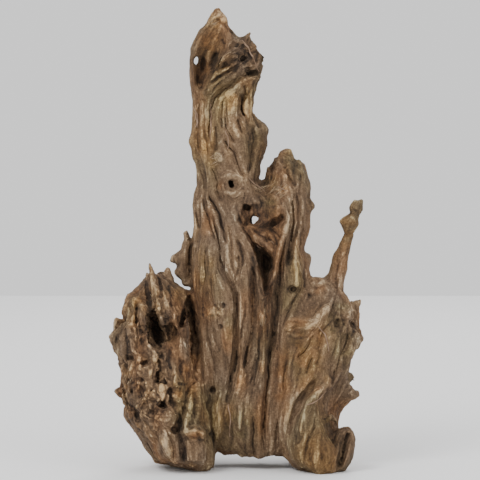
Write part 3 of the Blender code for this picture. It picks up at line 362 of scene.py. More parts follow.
# Open cracks, as (depth, [(x, height, width), ...])
cracks = [
    (7, [(15, 178, 2), (15, 160, 3), (15, 145, 4), (14, 130, 4), (12.5, 115, 3.6), (10, 105, 3),
         (7.5, 90, 2)]),
    (8, [(43.5, 206, 2.4), (41, 195, 3), (38.5, 182, 3.4), (36, 160, 4), (34.5, 145, 3.4), (32, 115, 3.6),
         (29, 104, 4.2), (27.8, 80, 3), (25.5, 60, 3), (24, 40, 2.6), (24, 20, 2.4)]),
    (8, [(48.5, 236, 3), (49.4, 220, 4), (48, 205, 4.6), (46.6, 195, 4), (44.6, 180, 2.4)]),
    (8, [(-20, 222, 2), (-15.5, 207, 3), (-13, 195, 3), (-12, 184, 3), (-11.4, 175, 3), (-8, 168, 3.4),
         (-3, 162, 4), (0, 154, 4), (1, 145, 4), (0.6, 130, 3.6), (0.6, 115, 4), (0.4, 100, 5),
         (-2.6, 84, 5),
         (-5, 72, 4.6), (-7, 60, 2.6)]),
    (5, [(-23, 240, 2), (-21, 235, 3), (-17, 229, 3), (-14, 223, 3), (-12, 216, 3), (-10, 208, 3),
         (-8, 198, 2)]),
    (4, [(-28, 238, 2), (-26, 229, 3), (-23, 219, 3), (-20, 210, 2.6), (-17, 200, 2)]),
    (6, [(-20, 263, 2), (-17.5, 256, 3.4), (-15.6, 250, 3.4), (-15.6, 243, 3), (-13, 236, 2)]),
    (5, [(-9, 287, 2), (-7, 282, 3), (-1.5, 276, 3.6), (0.5, 269, 3.6), (4.5, 260, 3), (8, 254, 2)]),
    (5, [(-9, 306, 2), (-8, 298, 3), (-4.5, 291, 3.4), (-1, 284, 2)]),
    (5, [(1.5, 305, 2), (3.5, 299, 3), (6.5, 293, 2)]),
    (7, [(16, 347, 3), (8, 342, 5), (0, 337, 6), (-6, 332, 6), (-12, 328, 6), (-17.5, 322, 6),
         (-20.5, 314, 5),
         (-22.5, 303, 4), (-23, 290, 2)]),
    (4, [(-12, 343, 3), (-5, 346.5, 3), (1.5, 350, 3), (6, 353, 3)]),
    (5, [(7, 335, 3), (9.5, 327, 3.6), (5.5, 321, 4), (4.5, 313, 4), (8, 307, 3)]),
    (4, [(-10, 325, 2), (-11, 315, 3), (-12, 305, 3), (-11, 296, 2)]),
    (4, [(1, 202, 2), (3.5, 196, 2.6), (6, 189, 3), (5.6, 179, 2)]),
    (4, [(2.6, 188, 2), (2.6, 178, 2.6), (1.6, 170, 2)]),
    (5, [(3, 221, 2), (6.5, 212, 3), (12, 203, 3), (15.5, 197, 3)]),
    (5, [(66.5, 119, 2.6), (63, 112, 4), (59, 106, 3), (53, 99, 2)]),
    (4, [(66.5, 101, 2), (63, 94, 3), (60, 86, 2)]),
    (2, [(68, 81, 3), (64, 74, 6), (59, 67, 8), (54, 60, 8), (50, 51, 7), (47, 42, 6), (46, 33, 5)]),
    (5, [(85, 92, 2), (83.6, 84, 4), (81.6, 76, 2)]),
    (9, [(97, 36, 3), (94, 29, 5), (92.5, 22, 6), (91, 15, 5), (88, 7, 3)]),
    (9, [(-97, 82, 4), (-96, 72, 5), (-94, 65, 5), (-91.6, 59.6, 5), (-88, 57, 4), (-85, 53.5, 4),
         (-83, 48, 2)]),
    (6, [(-47.5, 56, 3), (-47, 46, 6), (-49, 38, 7), (-46, 30, 5), (-44, 20, 4), (-44, 10, 3)]),
    (6, [(-66, 100, 3), (-64, 92, 4), (-66.5, 84, 6), (-65, 76, 4)]),
    (5, [(15, 50, 3), (15.5, 40, 5), (15.5, 28, 6), (15.5, 14, 6)]),
    (4, [(-19, 126, 2), (-17.6, 118, 3), (-15.5, 110, 3), (-13.5, 104, 2)]),
    (5, [(-34, 80, 4), (-40, 73, 5), (-43, 62, 4), (-45, 50, 4)]),
    (4, [(52, 240, 3), (54, 228, 6), (53, 214, 4), (51, 204, 2)]),
    (4, [(44, 262, 2), (46, 255, 3), (49.5, 248, 3)]),
    (4, [(39, 202, 2), (34, 208, 3), (27, 212, 4), (22, 212, 3)]),
    (5, [(-38, 198, 3), (-39, 186, 4), (-40, 176, 4), (-39, 166, 3)]),
    (4, [(-86, 150, 2), (-83, 140, 3), (-85, 128, 3), (-84, 116, 3), (-84, 106, 2)]),
    (3, [(-91, 148, 2), (-89, 138, 3), (-91, 130, 2)]),
    (4, [(88, 168, 2), (87, 158, 3), (84, 146, 3), (80, 137, 2)]),
    (3, [(-32, 330, 2), (-31, 318, 3), (-33, 305, 3), (-33, 290, 3), (-31, 275, 2)]),
    (3, [(-28, 326, 2), (-26.5, 312, 3), (-27, 298, 3), (-25, 284, 3), (-24, 272, 2)]),
    (3, [(-17, 300, 2), (-16, 288, 3), (-17.5, 278, 3)]),
    (3, [(14, 300, 2), (15, 285, 3), (13, 270, 4), (11, 258, 3)]),
    (3, [(-30, 262, 2), (-27, 252, 3), (-27, 243, 2)]),
    (4, [(-33, 228, 2), (-31.5, 215, 3), (-32, 200, 3), (-34, 188, 2)]),
    (3, [(-25, 196, 2), (-26, 184, 3), (-25, 172, 3), (-28, 160, 2)]),
    (3, [(-6, 214, 2), (-4, 200, 3), (-3.6, 186, 3), (-2, 174, 2)]),
    (3, [(8.6, 150, 2), (7, 134, 3), (4.6, 116, 3), (4, 100, 2)]),
    (4, [(22, 132, 2), (20.6, 118, 3), (20, 104, 3), (16, 90, 3), (12, 74, 2)]),
    (3, [(-24, 132, 2), (-23, 118, 3), (-19, 100, 3), (-17, 86, 2)]),
    (4, [(58, 222, 3), (57.6, 208, 4), (55, 196, 3), (55, 184, 2)]),
    (3, [(56, 160, 2), (49, 148, 3), (44, 138, 3), (40, 126, 2)]),
    (3, [(76, 128, 2), (72, 116, 3), (72, 104, 3), (69, 92, 2)]),
    (3, [(96, 122, 2), (94, 110, 3), (88, 98, 3), (86, 88, 2)]),
    (3, [(44, 100, 2), (42, 84, 3), (40, 66, 3), (37, 46, 3), (34, 26, 2)]),
    (3, [(68, 52, 2), (66, 40, 3), (60, 26, 3), (58, 14, 2)]),
    (4, [(-56, 74, 3), (-54, 62, 4), (-50, 52, 3)]),
    (4, [(-76, 60, 3), (-72, 54, 5), (-66, 54, 4)]),
    (4, [(-84, 34, 3), (-76, 28, 4), (-70, 18, 4), (-68, 12, 3)]),
    (4, [(-58, 36, 3), (-54, 26, 4), (-53, 14, 3)]),
]

# Directions that the fibres take where no crack shows them, as [(x, height), ...]
fibreLines = [
    [(-10, 392), (-22, 378), (-34, 366)],
    [(12, 364), (-4, 360), (-14, 350), (-26, 334), (-33, 320)],
    [(20, 345), (4, 340), (-10, 330), (-20, 318)],
    [(20, 300), (20, 280), (14, 256)],
    [(-14, 256), (-3, 258), (6, 254), (9, 247), (4, 241), (-6, 240), (-14, 244)],
    [(6, 232), (4, 220), (10, 211), (22, 211)],
    [(24, 236), (27, 224), (22, 212)],
    [(44, 128), (56, 130), (68, 130), (80, 147)],
    [(-46, 36), (-36, 36), (-24, 34)],
    [(84, 150), (86, 175), (92, 200), (98, 222), (104, 236)],
]

# Finer lines of the front, as (tone, depth, [(x, height, width), ...]): a tone below 0 is darker, and a depth
# below 0 stands proud. Dark lines sit in carved grooves and pale ones on raised ridges, so their tone is
# partly the fibres' own colour and partly painted shade and painted highlight
fineLines = [
    # tip, scoop and its rim
    (-0.30, 1.2, [(-17, 391, 1.4), (-12, 387, 2), (-8, 384.5, 1.6), (-3, 380, 1.6), (0, 377, 1)]),
    (0.20, -0.8, [(-11, 393, 2), (-7, 388, 2), (-3, 383, 2), (2, 378, 1.6)]),
    (0.28, -0.4, [(-24, 390, 1.6), (-19, 392, 1.6), (-15, 392, 1.2)]),
    (0.30, -0.4, [(-23, 387, 1.6), (-17, 384, 1.6)]),
    (0.12, -0.5, [(-24, 362, 1.4), (-24.5, 350, 1.4)]),
    (0.10, -0.7, [(-37, 376, 2), (-38, 362, 2), (-38, 345, 2), (-36.5, 332, 2)]),
    (-0.30, 0.8, [(-12, 373, 1.4), (-9, 369, 1.6)]),
    (-0.26, 5.0, [(-16.6, 362, 2), (-17, 357, 4), (-18.6, 351, 4), (-20, 346, 2)]),
    (-0.26, 3.5, [(-27.6, 358, 2), (-28, 352, 3), (-27, 346, 2)]),
    (-0.12, 1.6, [(-33, 343, 3), (-31, 335, 4), (-27, 331, 3)]),
    (0.14, -1.0, [(-22.6, 365, 2), (-23.4, 354, 2), (-24, 343, 1.6)]),
    # lip and ledge
    (-0.18, 1.3, [(-24, 333, 1.4), (-16, 339.6, 1.8), (-6, 344.6, 1.8), (4, 348, 1.4)]),
    (0.16, -1.2, [(-22, 337, 1.6), (-14, 343.4, 2), (-4, 348.4, 2), (6, 352.6, 1.6)]),
    (-0.20, 1.5, [(-20, 344, 1.4), (-12, 349.4, 1.8), (-5, 352.4, 1.8), (2, 356, 1.4)]),
    (0.18, -1.4, [(-16, 350.6, 1.6), (-9, 354.6, 2), (-2, 358.6, 2), (4, 363, 1.6)]),
    (-0.20, 1.6, [(-12, 358.6, 1.4), (-6, 362.6, 2), (0, 367, 1.6), (3, 371, 1.2)]),
    (0.20, -1.2, [(-9, 365, 1.4), (-4, 370, 1.8), (1, 374, 1.4)]),
    (0.10, -2.0, [(6, 371, 2.4), (0, 366, 2.4), (-7, 361, 2.6), (-12.6, 356, 2.4), (-17, 349, 2)]),
    (-0.16, 1.8, [(4, 362, 1.6), (-3, 357, 2), (-9, 352.6, 2), (-13, 348, 1.4)]),
    (0.10, -1.4, [(12, 366, 1.6), (16, 369, 2), (19, 366, 1.6)]),
    (-0.14, 1.6, [(14, 351, 2), (18, 357, 2), (19.6, 362, 1.6)]),
    (0.24, -1.0, [(-2, 362, 2), (-8, 359, 2.2), (-12, 356, 2), (-15, 352, 2), (-18, 348, 2)]),
    (0.20, -0.8, [(-14, 344, 2), (-20, 340, 2), (-24, 335, 2.4), (-26, 330, 2)]),
    (-0.22, 0.8, [(-17, 356, 1.4), (-11, 352, 1.4), (-4, 350, 1)]),
    (-0.20, 0.6, [(-22, 345, 1.4), (-15, 341, 1.4), (-10, 339, 1)]),
    (0.20, -0.5, [(-14, 347, 1.4), (-9, 347.5, 1.4), (-4, 346.5, 1)]),
    (-0.28, 0.9, [(2, 366, 1.4), (5, 369, 1.8), (8, 367, 1.4)]),
    (-0.28, 0.9, [(6, 365, 1.4), (10, 361, 1.8), (13, 357, 1.4)]),
    (0.16, -0.8, [(-4, 372, 2), (3, 371, 2), (9, 370, 1.6)]),
    (0.16, -0.7, [(0, 357, 1.6), (4, 360, 1.6), (8, 361.5, 1.4)]),
    (-0.34, 1.2, [(3, 354, 2), (8, 355, 3), (14, 356, 2.4)]),
    (0.18, -0.7, [(3, 348, 1.6), (9, 349.5, 1.8), (15, 351.5, 1.6), (20, 354, 1.4)]),
    (-0.26, 0.9, [(4, 351, 1.2), (0, 346, 1.6), (-5, 341, 1.6), (-11, 336, 1.6), (-17, 331, 1.6),
                  (-20, 329, 1.2)]),
    (0.20, -0.8, [(-3, 344, 2), (-9, 341, 2.2), (-14, 337, 2.2), (-21, 331, 2.2), (-25, 327, 1.6)]),
    # below the great diagonal groove
    (0.22, -0.8, [(-17, 320, 2), (-11, 323, 2), (-5, 327, 1.8)]),
    (-0.28, 0.8, [(-7, 320, 1.2), (-7.4, 312, 1.4), (-7.6, 305, 1.2)]),
    (0.24, -0.5, [(-2, 316, 2), (-2, 307, 2)]),
    (-0.34, 1.4, [(4, 326, 1.6), (5, 320, 2.4), (4.5, 315, 2.4), (6, 310, 2), (9, 307, 1.2)]),
    (0.24, -0.7, [(9.5, 329, 2), (9, 320, 2.6), (8.4, 312, 2.6), (10, 308, 2)]),
    (-0.22, 0.6, [(13, 332, 1.2), (11, 325, 1.4), (10.6, 318, 1)]),
    (0.14, -0.6, [(13.5, 328, 2), (14, 318, 2), (14, 309, 1.6)]),
    (0.16, -0.7, [(-28, 322, 2), (-29, 312, 2), (-29, 300, 2), (-28, 286, 1.6)]),
    (0.14, -0.6, [(-35, 326, 1.6), (-36, 312, 1.6), (-36, 300, 1.4)]),
    (-0.20, 0.7, [(-24, 300, 1.2), (-22, 290, 1.6), (-21, 280, 1.2)]),
    (0.14, -0.5, [(-14, 300, 1.6), (-13, 290, 1.8), (-10, 280, 1.4)]),
    (-0.18, 0.6, [(-34, 292, 1.2), (-35, 284, 1.4), (-34, 275, 1)]),
    # middle
    (0.12, -0.7, [(-18, 275, 1.2), (-15.5, 275.5, 1.2), (-13, 274, 1.4), (-12, 270, 1.2), (-15, 268.5, 1)]),
    (0.18, -0.6, [(1, 262, 1.4), (3, 259, 1.4), (5, 256, 1)]),
    (0.13, -0.7, [(-17, 249, 1.2), (-15, 253, 1.6), (-11, 255.6, 1.6), (-5, 257, 1.6), (2, 255.6, 1.6),
                  (6, 251, 1.4), (6, 246.6, 1.2)]),
    (0.10, -0.6, [(-15.5, 244, 1.4), (-10, 241, 1.6), (-3, 241.5, 1.6), (3, 244, 1.4)]),
    (-0.26, 0.8, [(-10, 251, 1.2), (-8, 245, 1.4), (-3, 243.5, 1.2)]),
    (-0.16, 0.6, [(9, 300, 1), (12, 288, 1.2), (11, 276, 1)]),
    (0.12, -0.5, [(18, 300, 2), (20, 285, 2), (18, 268, 1.6)]),
    (-0.30, 1.0, [(-34, 226, 1.2), (-32, 218, 1.6), (-30, 210, 1.2)]),
    (-0.34, 1.2, [(-22, 237, 1.2), (-19, 231, 1.6), (-15, 225, 1.8), (-13, 220, 1.6), (-12, 214, 1.6),
                  (-10.5, 207, 1.4)]),
    (-0.26, 0.8, [(1, 232, 1), (2, 225, 1.4), (4, 219, 1.4), (5, 214, 1)]),
    (0.22, -0.6, [(-31, 236, 2.4), (-32, 222, 3), (-31, 206, 2.4)]),
    (0.18, -0.6, [(-4, 227, 1.4), (-1, 220, 1.6), (2, 214, 1.2)]),
    (0.20, -0.6, [(-17, 236, 1.4), (-12, 230, 1.4), (-8, 222, 1.2)]),
    (0.26, -0.8, [(41, 208, 1.8), (44, 214, 2.4), (46.5, 220, 2.2), (47, 229, 2), (46, 237, 1.4)]),
    (0.26, -0.5, [(14, 248, 1), (20, 245.6, 1.2), (25, 242.5, 1)]),
    (0.20, -0.6, [(23, 241, 1.6), (29, 240.6, 1.6), (34, 239, 1.4)]),
    (-0.28, 0.9, [(19, 239, 1.2), (22, 233, 1.6), (21, 228, 1.2)]),
    (-0.26, 0.8, [(50, 268, 1.2), (50.5, 255, 1.4), (50, 247, 1.2)]),
    (-0.22, 0.7, [(56, 258, 1.2), (55, 246, 1.4), (54, 238, 1.2)]),
    (-0.24, 0.8, [(33, 268, 1.2), (31, 260, 1.4), (30, 252, 1)]),
    (0.16, -0.6, [(37, 272, 1.8), (36, 262, 1.8), (34, 252, 1.6)]),
    (0.16, -0.6, [(47, 271, 1.8), (48, 258, 1.8), (47, 246, 1.4)]),
    # centre
    (0.10, -0.8, [(14, 200, 1.8), (19, 205, 2.2), (26, 207, 2.4), (33, 205, 2)]),
    (0.18, -0.5, [(18, 197, 1.2), (22, 194.5, 1.2)]),
    (-0.26, 1.4, [(16, 209, 2), (22, 204, 2), (29, 201, 1.6)]),
    (-0.20, 1.2, [(30, 210, 1.6), (34, 203, 2), (36, 196, 1.6)]),
    (-0.24, 1.2, [(20, 199, 1.4), (25, 196, 1.8), (30, 190, 1.4)]),
    (0.20, -0.7, [(16, 190, 1.6), (18, 180, 1.8), (18.5, 168, 1.4)]),
    (0.26, -0.7, [(21.5, 163, 1.4), (21, 155, 1.8), (20, 147, 1.4)]),
    (0.20, -0.8, [(39, 197, 1.6), (37.5, 187, 1.8), (36, 177, 1.8), (33, 165, 1.6), (31, 152, 1.4)]),
    (0.26, -0.7, [(52.5, 200, 2), (53, 188, 3.4), (52, 176, 3.4), (52, 168, 2)]),
    (0.20, -0.7, [(12.8, 150, 1.2), (12.5, 140, 1.6), (11, 125, 1.6), (9.6, 112, 1.2)]),
    (0.16, -0.6, [(-8, 198, 1.6), (-7, 186, 1.8), (-6, 172, 1.6)]),
    (0.14, -0.6, [(3.6, 160, 1.6), (4, 145, 1.8), (3.6, 128, 1.6)]),
    (0.20, -0.7, [(-35, 194, 1.4), (-37, 185, 1.8), (-36.5, 175, 1.8), (-36, 166, 1.4)]),
    (0.20, -0.7, [(-35, 195, 1.4), (-27, 197.5, 1.6), (-22, 196, 1.2)]),
    (0.20, -0.8, [(-38, 160, 1.4), (-36, 145, 1.8), (-33, 137, 1.8), (-32, 128, 1.4)]),
    (0.34, -0.6, [(-24, 142, 1.4), (-20, 139.5, 1.6), (-15, 138, 1.6), (-11, 135, 1.4)]),
    (0.34, -0.6, [(-21, 138.5, 1.2), (-18, 143, 1.4), (-13, 145, 1.2)]),
    (0.30, -0.5, [(-17, 136, 1.2), (-12, 133, 1.2)]),
    (-0.34, 1.2, [(-18.5, 146, 1.2), (-16, 143.6, 1.6), (-14, 141, 1.4)]),
    (-0.34, 1.2, [(-16, 137, 1.4), (-14.4, 134.6, 1.6), (-13, 133, 1.2)]),
    (-0.20, 0.7, [(-27, 160, 1), (-28, 148, 1.4), (-27, 136, 1.4), (-26, 124, 1)]),
    (-0.20, 0.7, [(-22, 188, 1), (-23, 175, 1.2), (-21, 162, 1)]),
    (-0.24, 0.8, [(25, 147, 1.2), (27, 138, 1.6), (28, 128, 1.4), (28, 116, 1.2)]),
    (0.26, -0.6, [(24, 147, 1.4), (25, 140, 1.8), (22.5, 133, 1.8), (21, 126, 1.4)]),
    (0.24, -0.6, [(30, 145, 1.4), (30.5, 137, 1.4), (30.4, 126, 1.4), (30, 115, 1.2)]),
    (0.22, -0.6, [(19, 122, 1.4), (18, 112, 1.6), (17.6, 102, 1.2)]),
    (-0.20, 0.7, [(39, 150, 1), (39, 135, 1.4), (37, 120, 1.4), (35, 104, 1)]),
    # low centre
    (0.26, -0.6, [(4, 85, 1.6), (5, 79, 2), (3, 74, 2), (1, 67, 1.4)]),
    (0.24, -0.6, [(9, 86, 1.4), (8, 77, 1.6)]),
    (0.06, -0.5, [(6, 58, 1.6), (4, 50, 2), (3, 38, 1.6)]),
    (0.16, -0.6, [(8, 56, 1.4), (6, 46, 1.4)]),
    (0.22, -0.7, [(-16, 63, 3), (-17, 55, 5), (-14.6, 46, 5), (-15.6, 38, 5), (-15, 31, 3)]),
    (-0.24, 0.9, [(-21, 56, 1.4), (-19.6, 46, 1.8), (-20, 36, 1.8), (-19, 26, 1.4)]),
    (0.22, -0.9, [(-25, 80, 1.6), (-29.5, 76, 1.6), (-31, 69, 1.6), (-27.6, 62, 1.6), (-25, 66, 1.4)]),
    (0.20, -0.9, [(-36, 74, 1.8), (-38, 65, 2.2), (-39, 55, 2.2), (-41, 44, 1.8)]),
    (0.18, -1.0, [(-33, 62, 2), (-32, 52, 2.6), (-34, 42, 2)]),
    (0.26, -1.0, [(-47, 35, 1.8), (-42, 38.6, 2.2), (-36, 39.6, 2.4), (-30, 36.4, 2.2), (-24, 33, 1.6)]),
    (-0.30, 1.2, [(-45, 31, 1.6), (-38, 33, 2), (-30, 31, 2), (-23, 28, 1.4)]),
    (-0.28, 1.0, [(-24, 38, 2), (-21.6, 33, 2)]),
    (0.20, -0.5, [(-40, 8, 2), (-36, 6, 2)]),
    (-0.20, 0.7, [(-2, 46, 1.2), (-3, 34, 1.6), (-5, 20, 1.4)]),
    (-0.18, 0.6, [(9, 42, 1), (9, 30, 1.4), (8, 18, 1)]),
    (0.14, -0.5, [(20, 58, 1.6), (20, 44, 2), (20, 28, 1.6)]),
    (0.24, -0.6, [(21, 98, 2), (23, 93, 2.4), (24, 88, 1.8)]),
    (0.16, -6.5, [(-41, 143, 2.6), (-40, 132, 3.6), (-39.6, 120, 4), (-41, 108, 3.4)]),
    (0.10, -4.5, [(-35, 120, 2.4), (-35, 108, 3), (-36, 96, 2.6)]),
    (0.08, -3.5, [(-37.6, 104, 2), (-36.6, 94, 3), (-37.6, 86, 2)]),
    # burl, low
    (0.20, -1.0, [(-81, 56, 1.8), (-76, 50, 2), (-71, 45, 2), (-67, 41, 1.6)]),
    (-0.34, 1.6, [(-90, 57, 2.4), (-86, 55, 3), (-83.5, 50, 2.6)]),
    (-0.32, 1.4, [(-86, 82, 1.6), (-82, 81.4, 2.6), (-79, 81, 1.6)]),
    (-0.30, 1.4, [(-64.6, 79, 2), (-61, 79.4, 3), (-57.6, 78, 2)]),
    (-0.30, 1.4, [(-49, 78.4, 1.8), (-44.6, 78, 2.4), (-41, 77, 1.6)]),
    (-0.30, 1.2, [(-79, 98, 2), (-79, 93, 2)]),
    (-0.24, 1.2, [(-90, 74, 1.8), (-88, 69, 2)]),
    (0.20, -1.0, [(-102, 84, 1.6), (-98, 90, 2), (-95, 96, 1.8)]),
    (0.20, -0.9, [(-86, 70, 1.6), (-83, 76, 2), (-80, 86, 1.8)]),
    (0.20, -0.9, [(-72, 84, 1.6), (-71, 92, 2), (-72, 102, 1.6)]),
    (-0.28, 1.2, [(-56, 110, 1.6), (-57, 100, 2), (-55, 90, 1.8)]),
    (-0.28, 1.2, [(-47, 100, 1.4), (-46, 90, 1.8), (-47, 82, 1.4)]),
    (0.22, -0.9, [(-51, 96, 1.6), (-51, 86, 2), (-53, 78, 1.6)]),
    (0.18, -0.8, [(-60, 70, 1.6), (-64, 66, 1.8), (-68, 61, 1.6)]),
    (0.16, -0.8, [(-57, 34, 1.8), (-60, 24, 2), (-58, 15, 1.6)]),
    (-0.26, 1.0, [(-66, 34, 1.4), (-63, 24, 1.8), (-64, 15, 1.4)]),
    (0.10, -3.5, [(-77, 136, 1.8), (-75.6, 124, 2.2), (-73.6, 112, 2)]),
    (0.06, -3.0, [(-63, 138, 2), (-62.4, 128, 2.6), (-62, 118, 2)]),
    # burl, high
    (0.46, -3.2, [(-73.5, 181, 1.8), (-72, 172, 3.0), (-70.4, 163, 3.6), (-68.2, 154, 3.6), (-66, 145, 3.0),
                  (-65, 138, 2)]),
    (-0.06, -5.0, [(-64, 138, 2.0), (-61.5, 130, 3.0), (-59.6, 122, 2.6), (-58, 114, 1.6)]),
    (-0.04, -4.0, [(-75, 130, 1.8), (-74, 120, 2.2), (-71, 110, 1.8)]),
    (-0.05, -4.0, [(-70, 108, 2.4), (-66, 104, 2.6), (-62, 106, 2)]),
    (-0.34, 2.4, [(-77.6, 168, 1.4), (-76, 158, 2.2), (-74, 148, 2.4), (-72.4, 140, 2)]),
    (-0.26, 2.0, [(-66, 170, 1.4), (-64, 160, 2), (-62.6, 152, 1.6)]),
    (-0.30, 3.0, [(-71, 132, 3), (-69, 124, 5), (-66, 114, 5), (-62, 110, 3)]),
    (-0.16, 1.0, [(-61, 122, 3), (-55, 120.6, 4), (-50, 120, 3)]),
    (0.18, -2.2, [(-57, 117, 2), (-53, 128, 2.6), (-51.6, 138, 2.4), (-52, 150, 2)]),
    (0.12, -1.6, [(-100, 141, 1.6), (-101, 132, 2.4), (-106, 124, 2.4), (-109, 119, 1.8)]),
    (-0.20, 1.6, [(-97, 130, 1.6), (-99, 122, 2), (-104, 112, 2)]),
    (0.14, -1.6, [(-80, 160, 2), (-84, 152, 2.6), (-88, 143, 2.4), (-89, 134, 2)]),
    (-0.22, 1.8, [(-84, 145, 1.6), (-84.6, 134, 2.4), (-80.6, 122, 2.4), (-80, 110, 1.8)]),
    (0.26, -1.0, [(-82, 148, 1.6), (-80, 143, 2.2), (-77, 138, 1.8)]),
    (0.20, -1.0, [(-90, 136, 1.6), (-88, 128, 2), (-85, 121, 2), (-84, 110, 1.6)]),
    (0.18, -0.9, [(-98, 113, 1.6), (-96, 104, 2), (-97, 97, 1.6)]),
    (0.18, -0.9, [(-104, 116, 1.4), (-101.6, 108, 1.8), (-99, 99, 1.4)]),
    (-0.26, 1.2, [(-94, 128, 1.4), (-93, 118, 1.8), (-92, 108, 1.6), (-92, 98, 1.4)]),
    (0.22, -1.0, [(-47, 119, 1.6), (-44, 112, 2), (-42, 105, 2), (-41, 98, 1.6)]),
    (0.20, -1.0, [(-62, 158, 1.6), (-60, 150, 2.4), (-59.6, 142, 1.8)]),
    (-0.28, 1.2, [(-57, 164, 1.4), (-56, 156, 2), (-54, 146, 2), (-53, 138, 1.4)]),
    (0.18, -0.9, [(-51, 160, 1.6), (-49.6, 150, 1.8), (-48, 141, 1.4)]),
    (-0.24, 1.0, [(-62, 114, 1.4), (-66, 106, 1.6), (-64, 100, 1.2)]),
    (0.20, -0.8, [(-78, 112, 1.6), (-70, 107, 2), (-62, 112, 1.8), (-56, 113, 1.4)]),
    # right flank
    (0.10, -0.9, [(80, 143, 1.8), (78, 137, 2.4), (75, 132, 2.4), (71.6, 128, 2.4), (66, 126, 2.2),
                  (60, 125, 1.6)]),
    (0.16, -0.6, [(43, 124.6, 1.8), (48, 124, 1.8)]),
    (0.10, -0.6, [(43, 120.5, 1.4), (52, 120, 1.6), (60, 121, 1.6), (66, 122.4, 1.2)]),
    (-0.14, 0.6, [(44, 117.6, 1.2), (53, 117, 1.6), (62, 118.4, 1.2)]),
    (-0.12, 0.5, [(46, 131, 1.2), (54, 130.6, 1.4), (62, 130, 1)]),
    (-0.24, 0.9, [(70, 122, 1.2), (77, 126, 1.6), (84, 134, 1.4), (88, 142, 1)]),
    (0.18, -0.7, [(67, 94, 1.6), (67, 88, 1.6)]),
    (0.20, -0.8, [(98, 92, 1.6), (90, 84.6, 2), (82, 77.4, 2), (74, 73, 2), (68, 69, 2), (62, 64, 2),
                  (58.6, 57, 2),
                  (57.4, 46, 2), (56, 38, 1.8), (53, 25, 1.4)]),
    (-0.26, 0.9, [(80, 74, 1.2), (77, 67, 1.6), (75, 59, 1.2)]),
    (0.22, -1.0, [(80, 51, 1.4), (84, 50, 1.8), (87, 46, 1.8), (86, 39, 1.4)]),
    (0.22, -0.9, [(90, 24, 1.6), (86.6, 15, 2), (83, 10, 1.6)]),
    (-0.20, 0.8, [(88, 120, 1.2), (86, 110, 1.4), (81, 100, 1.2)]),
    (-0.20, 0.8, [(56, 92, 1), (53, 80, 1.4), (50, 68, 1.2)]),
    (0.16, -0.7, [(49, 112, 1.6), (46, 100, 2), (44.6, 86, 1.8), (43, 70, 1.4)]),
    (-0.18, 0.7, [(52, 110, 1), (49, 96, 1.4), (47.6, 80, 1)]),
    (0.14, -0.7, [(61, 84, 1.6), (57, 74, 1.8), (51, 64, 1.4)]),
    (-0.20, 0.8, [(62, 36, 1.2), (61, 24, 1.6), (63, 12, 1.2)]),
    (-0.20, 0.8, [(74, 36, 1.2), (73, 24, 1.6), (74, 12, 1.2)]),
    (0.18, -0.8, [(68, 34, 1.6), (67, 22, 2), (68, 12, 1.6)]),
    (0.22, -0.8, [(104, 122, 1.6), (106, 114, 2), (103, 108, 1.6)]),
    (-0.30, 1.2, [(101, 131, 1.4), (103, 124, 2), (100, 116, 1.4)]),
    (-0.22, 0.6, [(89, 184, 1), (88, 175, 1.4), (86, 166, 1)]),
    (-0.24, 0.8, [(99.6, 227.6, 1.2), (104.6, 226, 1.4)]),
    (0.18, -0.5, [(98, 222, 1), (101, 220.6, 1.2), (102, 216, 1)]),
    (0.20, -0.7, [(64.6, 164, 1.4), (71, 163.6, 1.6), (77, 166.4, 1.6), (80.6, 171, 1.2)]),
    (-0.24, 0.8, [(66, 160.6, 1.2), (73, 159.6, 1.6), (80, 163, 1.2)]),
    (-0.22, 0.8, [(60, 182, 1), (58.6, 172, 1.4), (60, 160, 1)]),
]
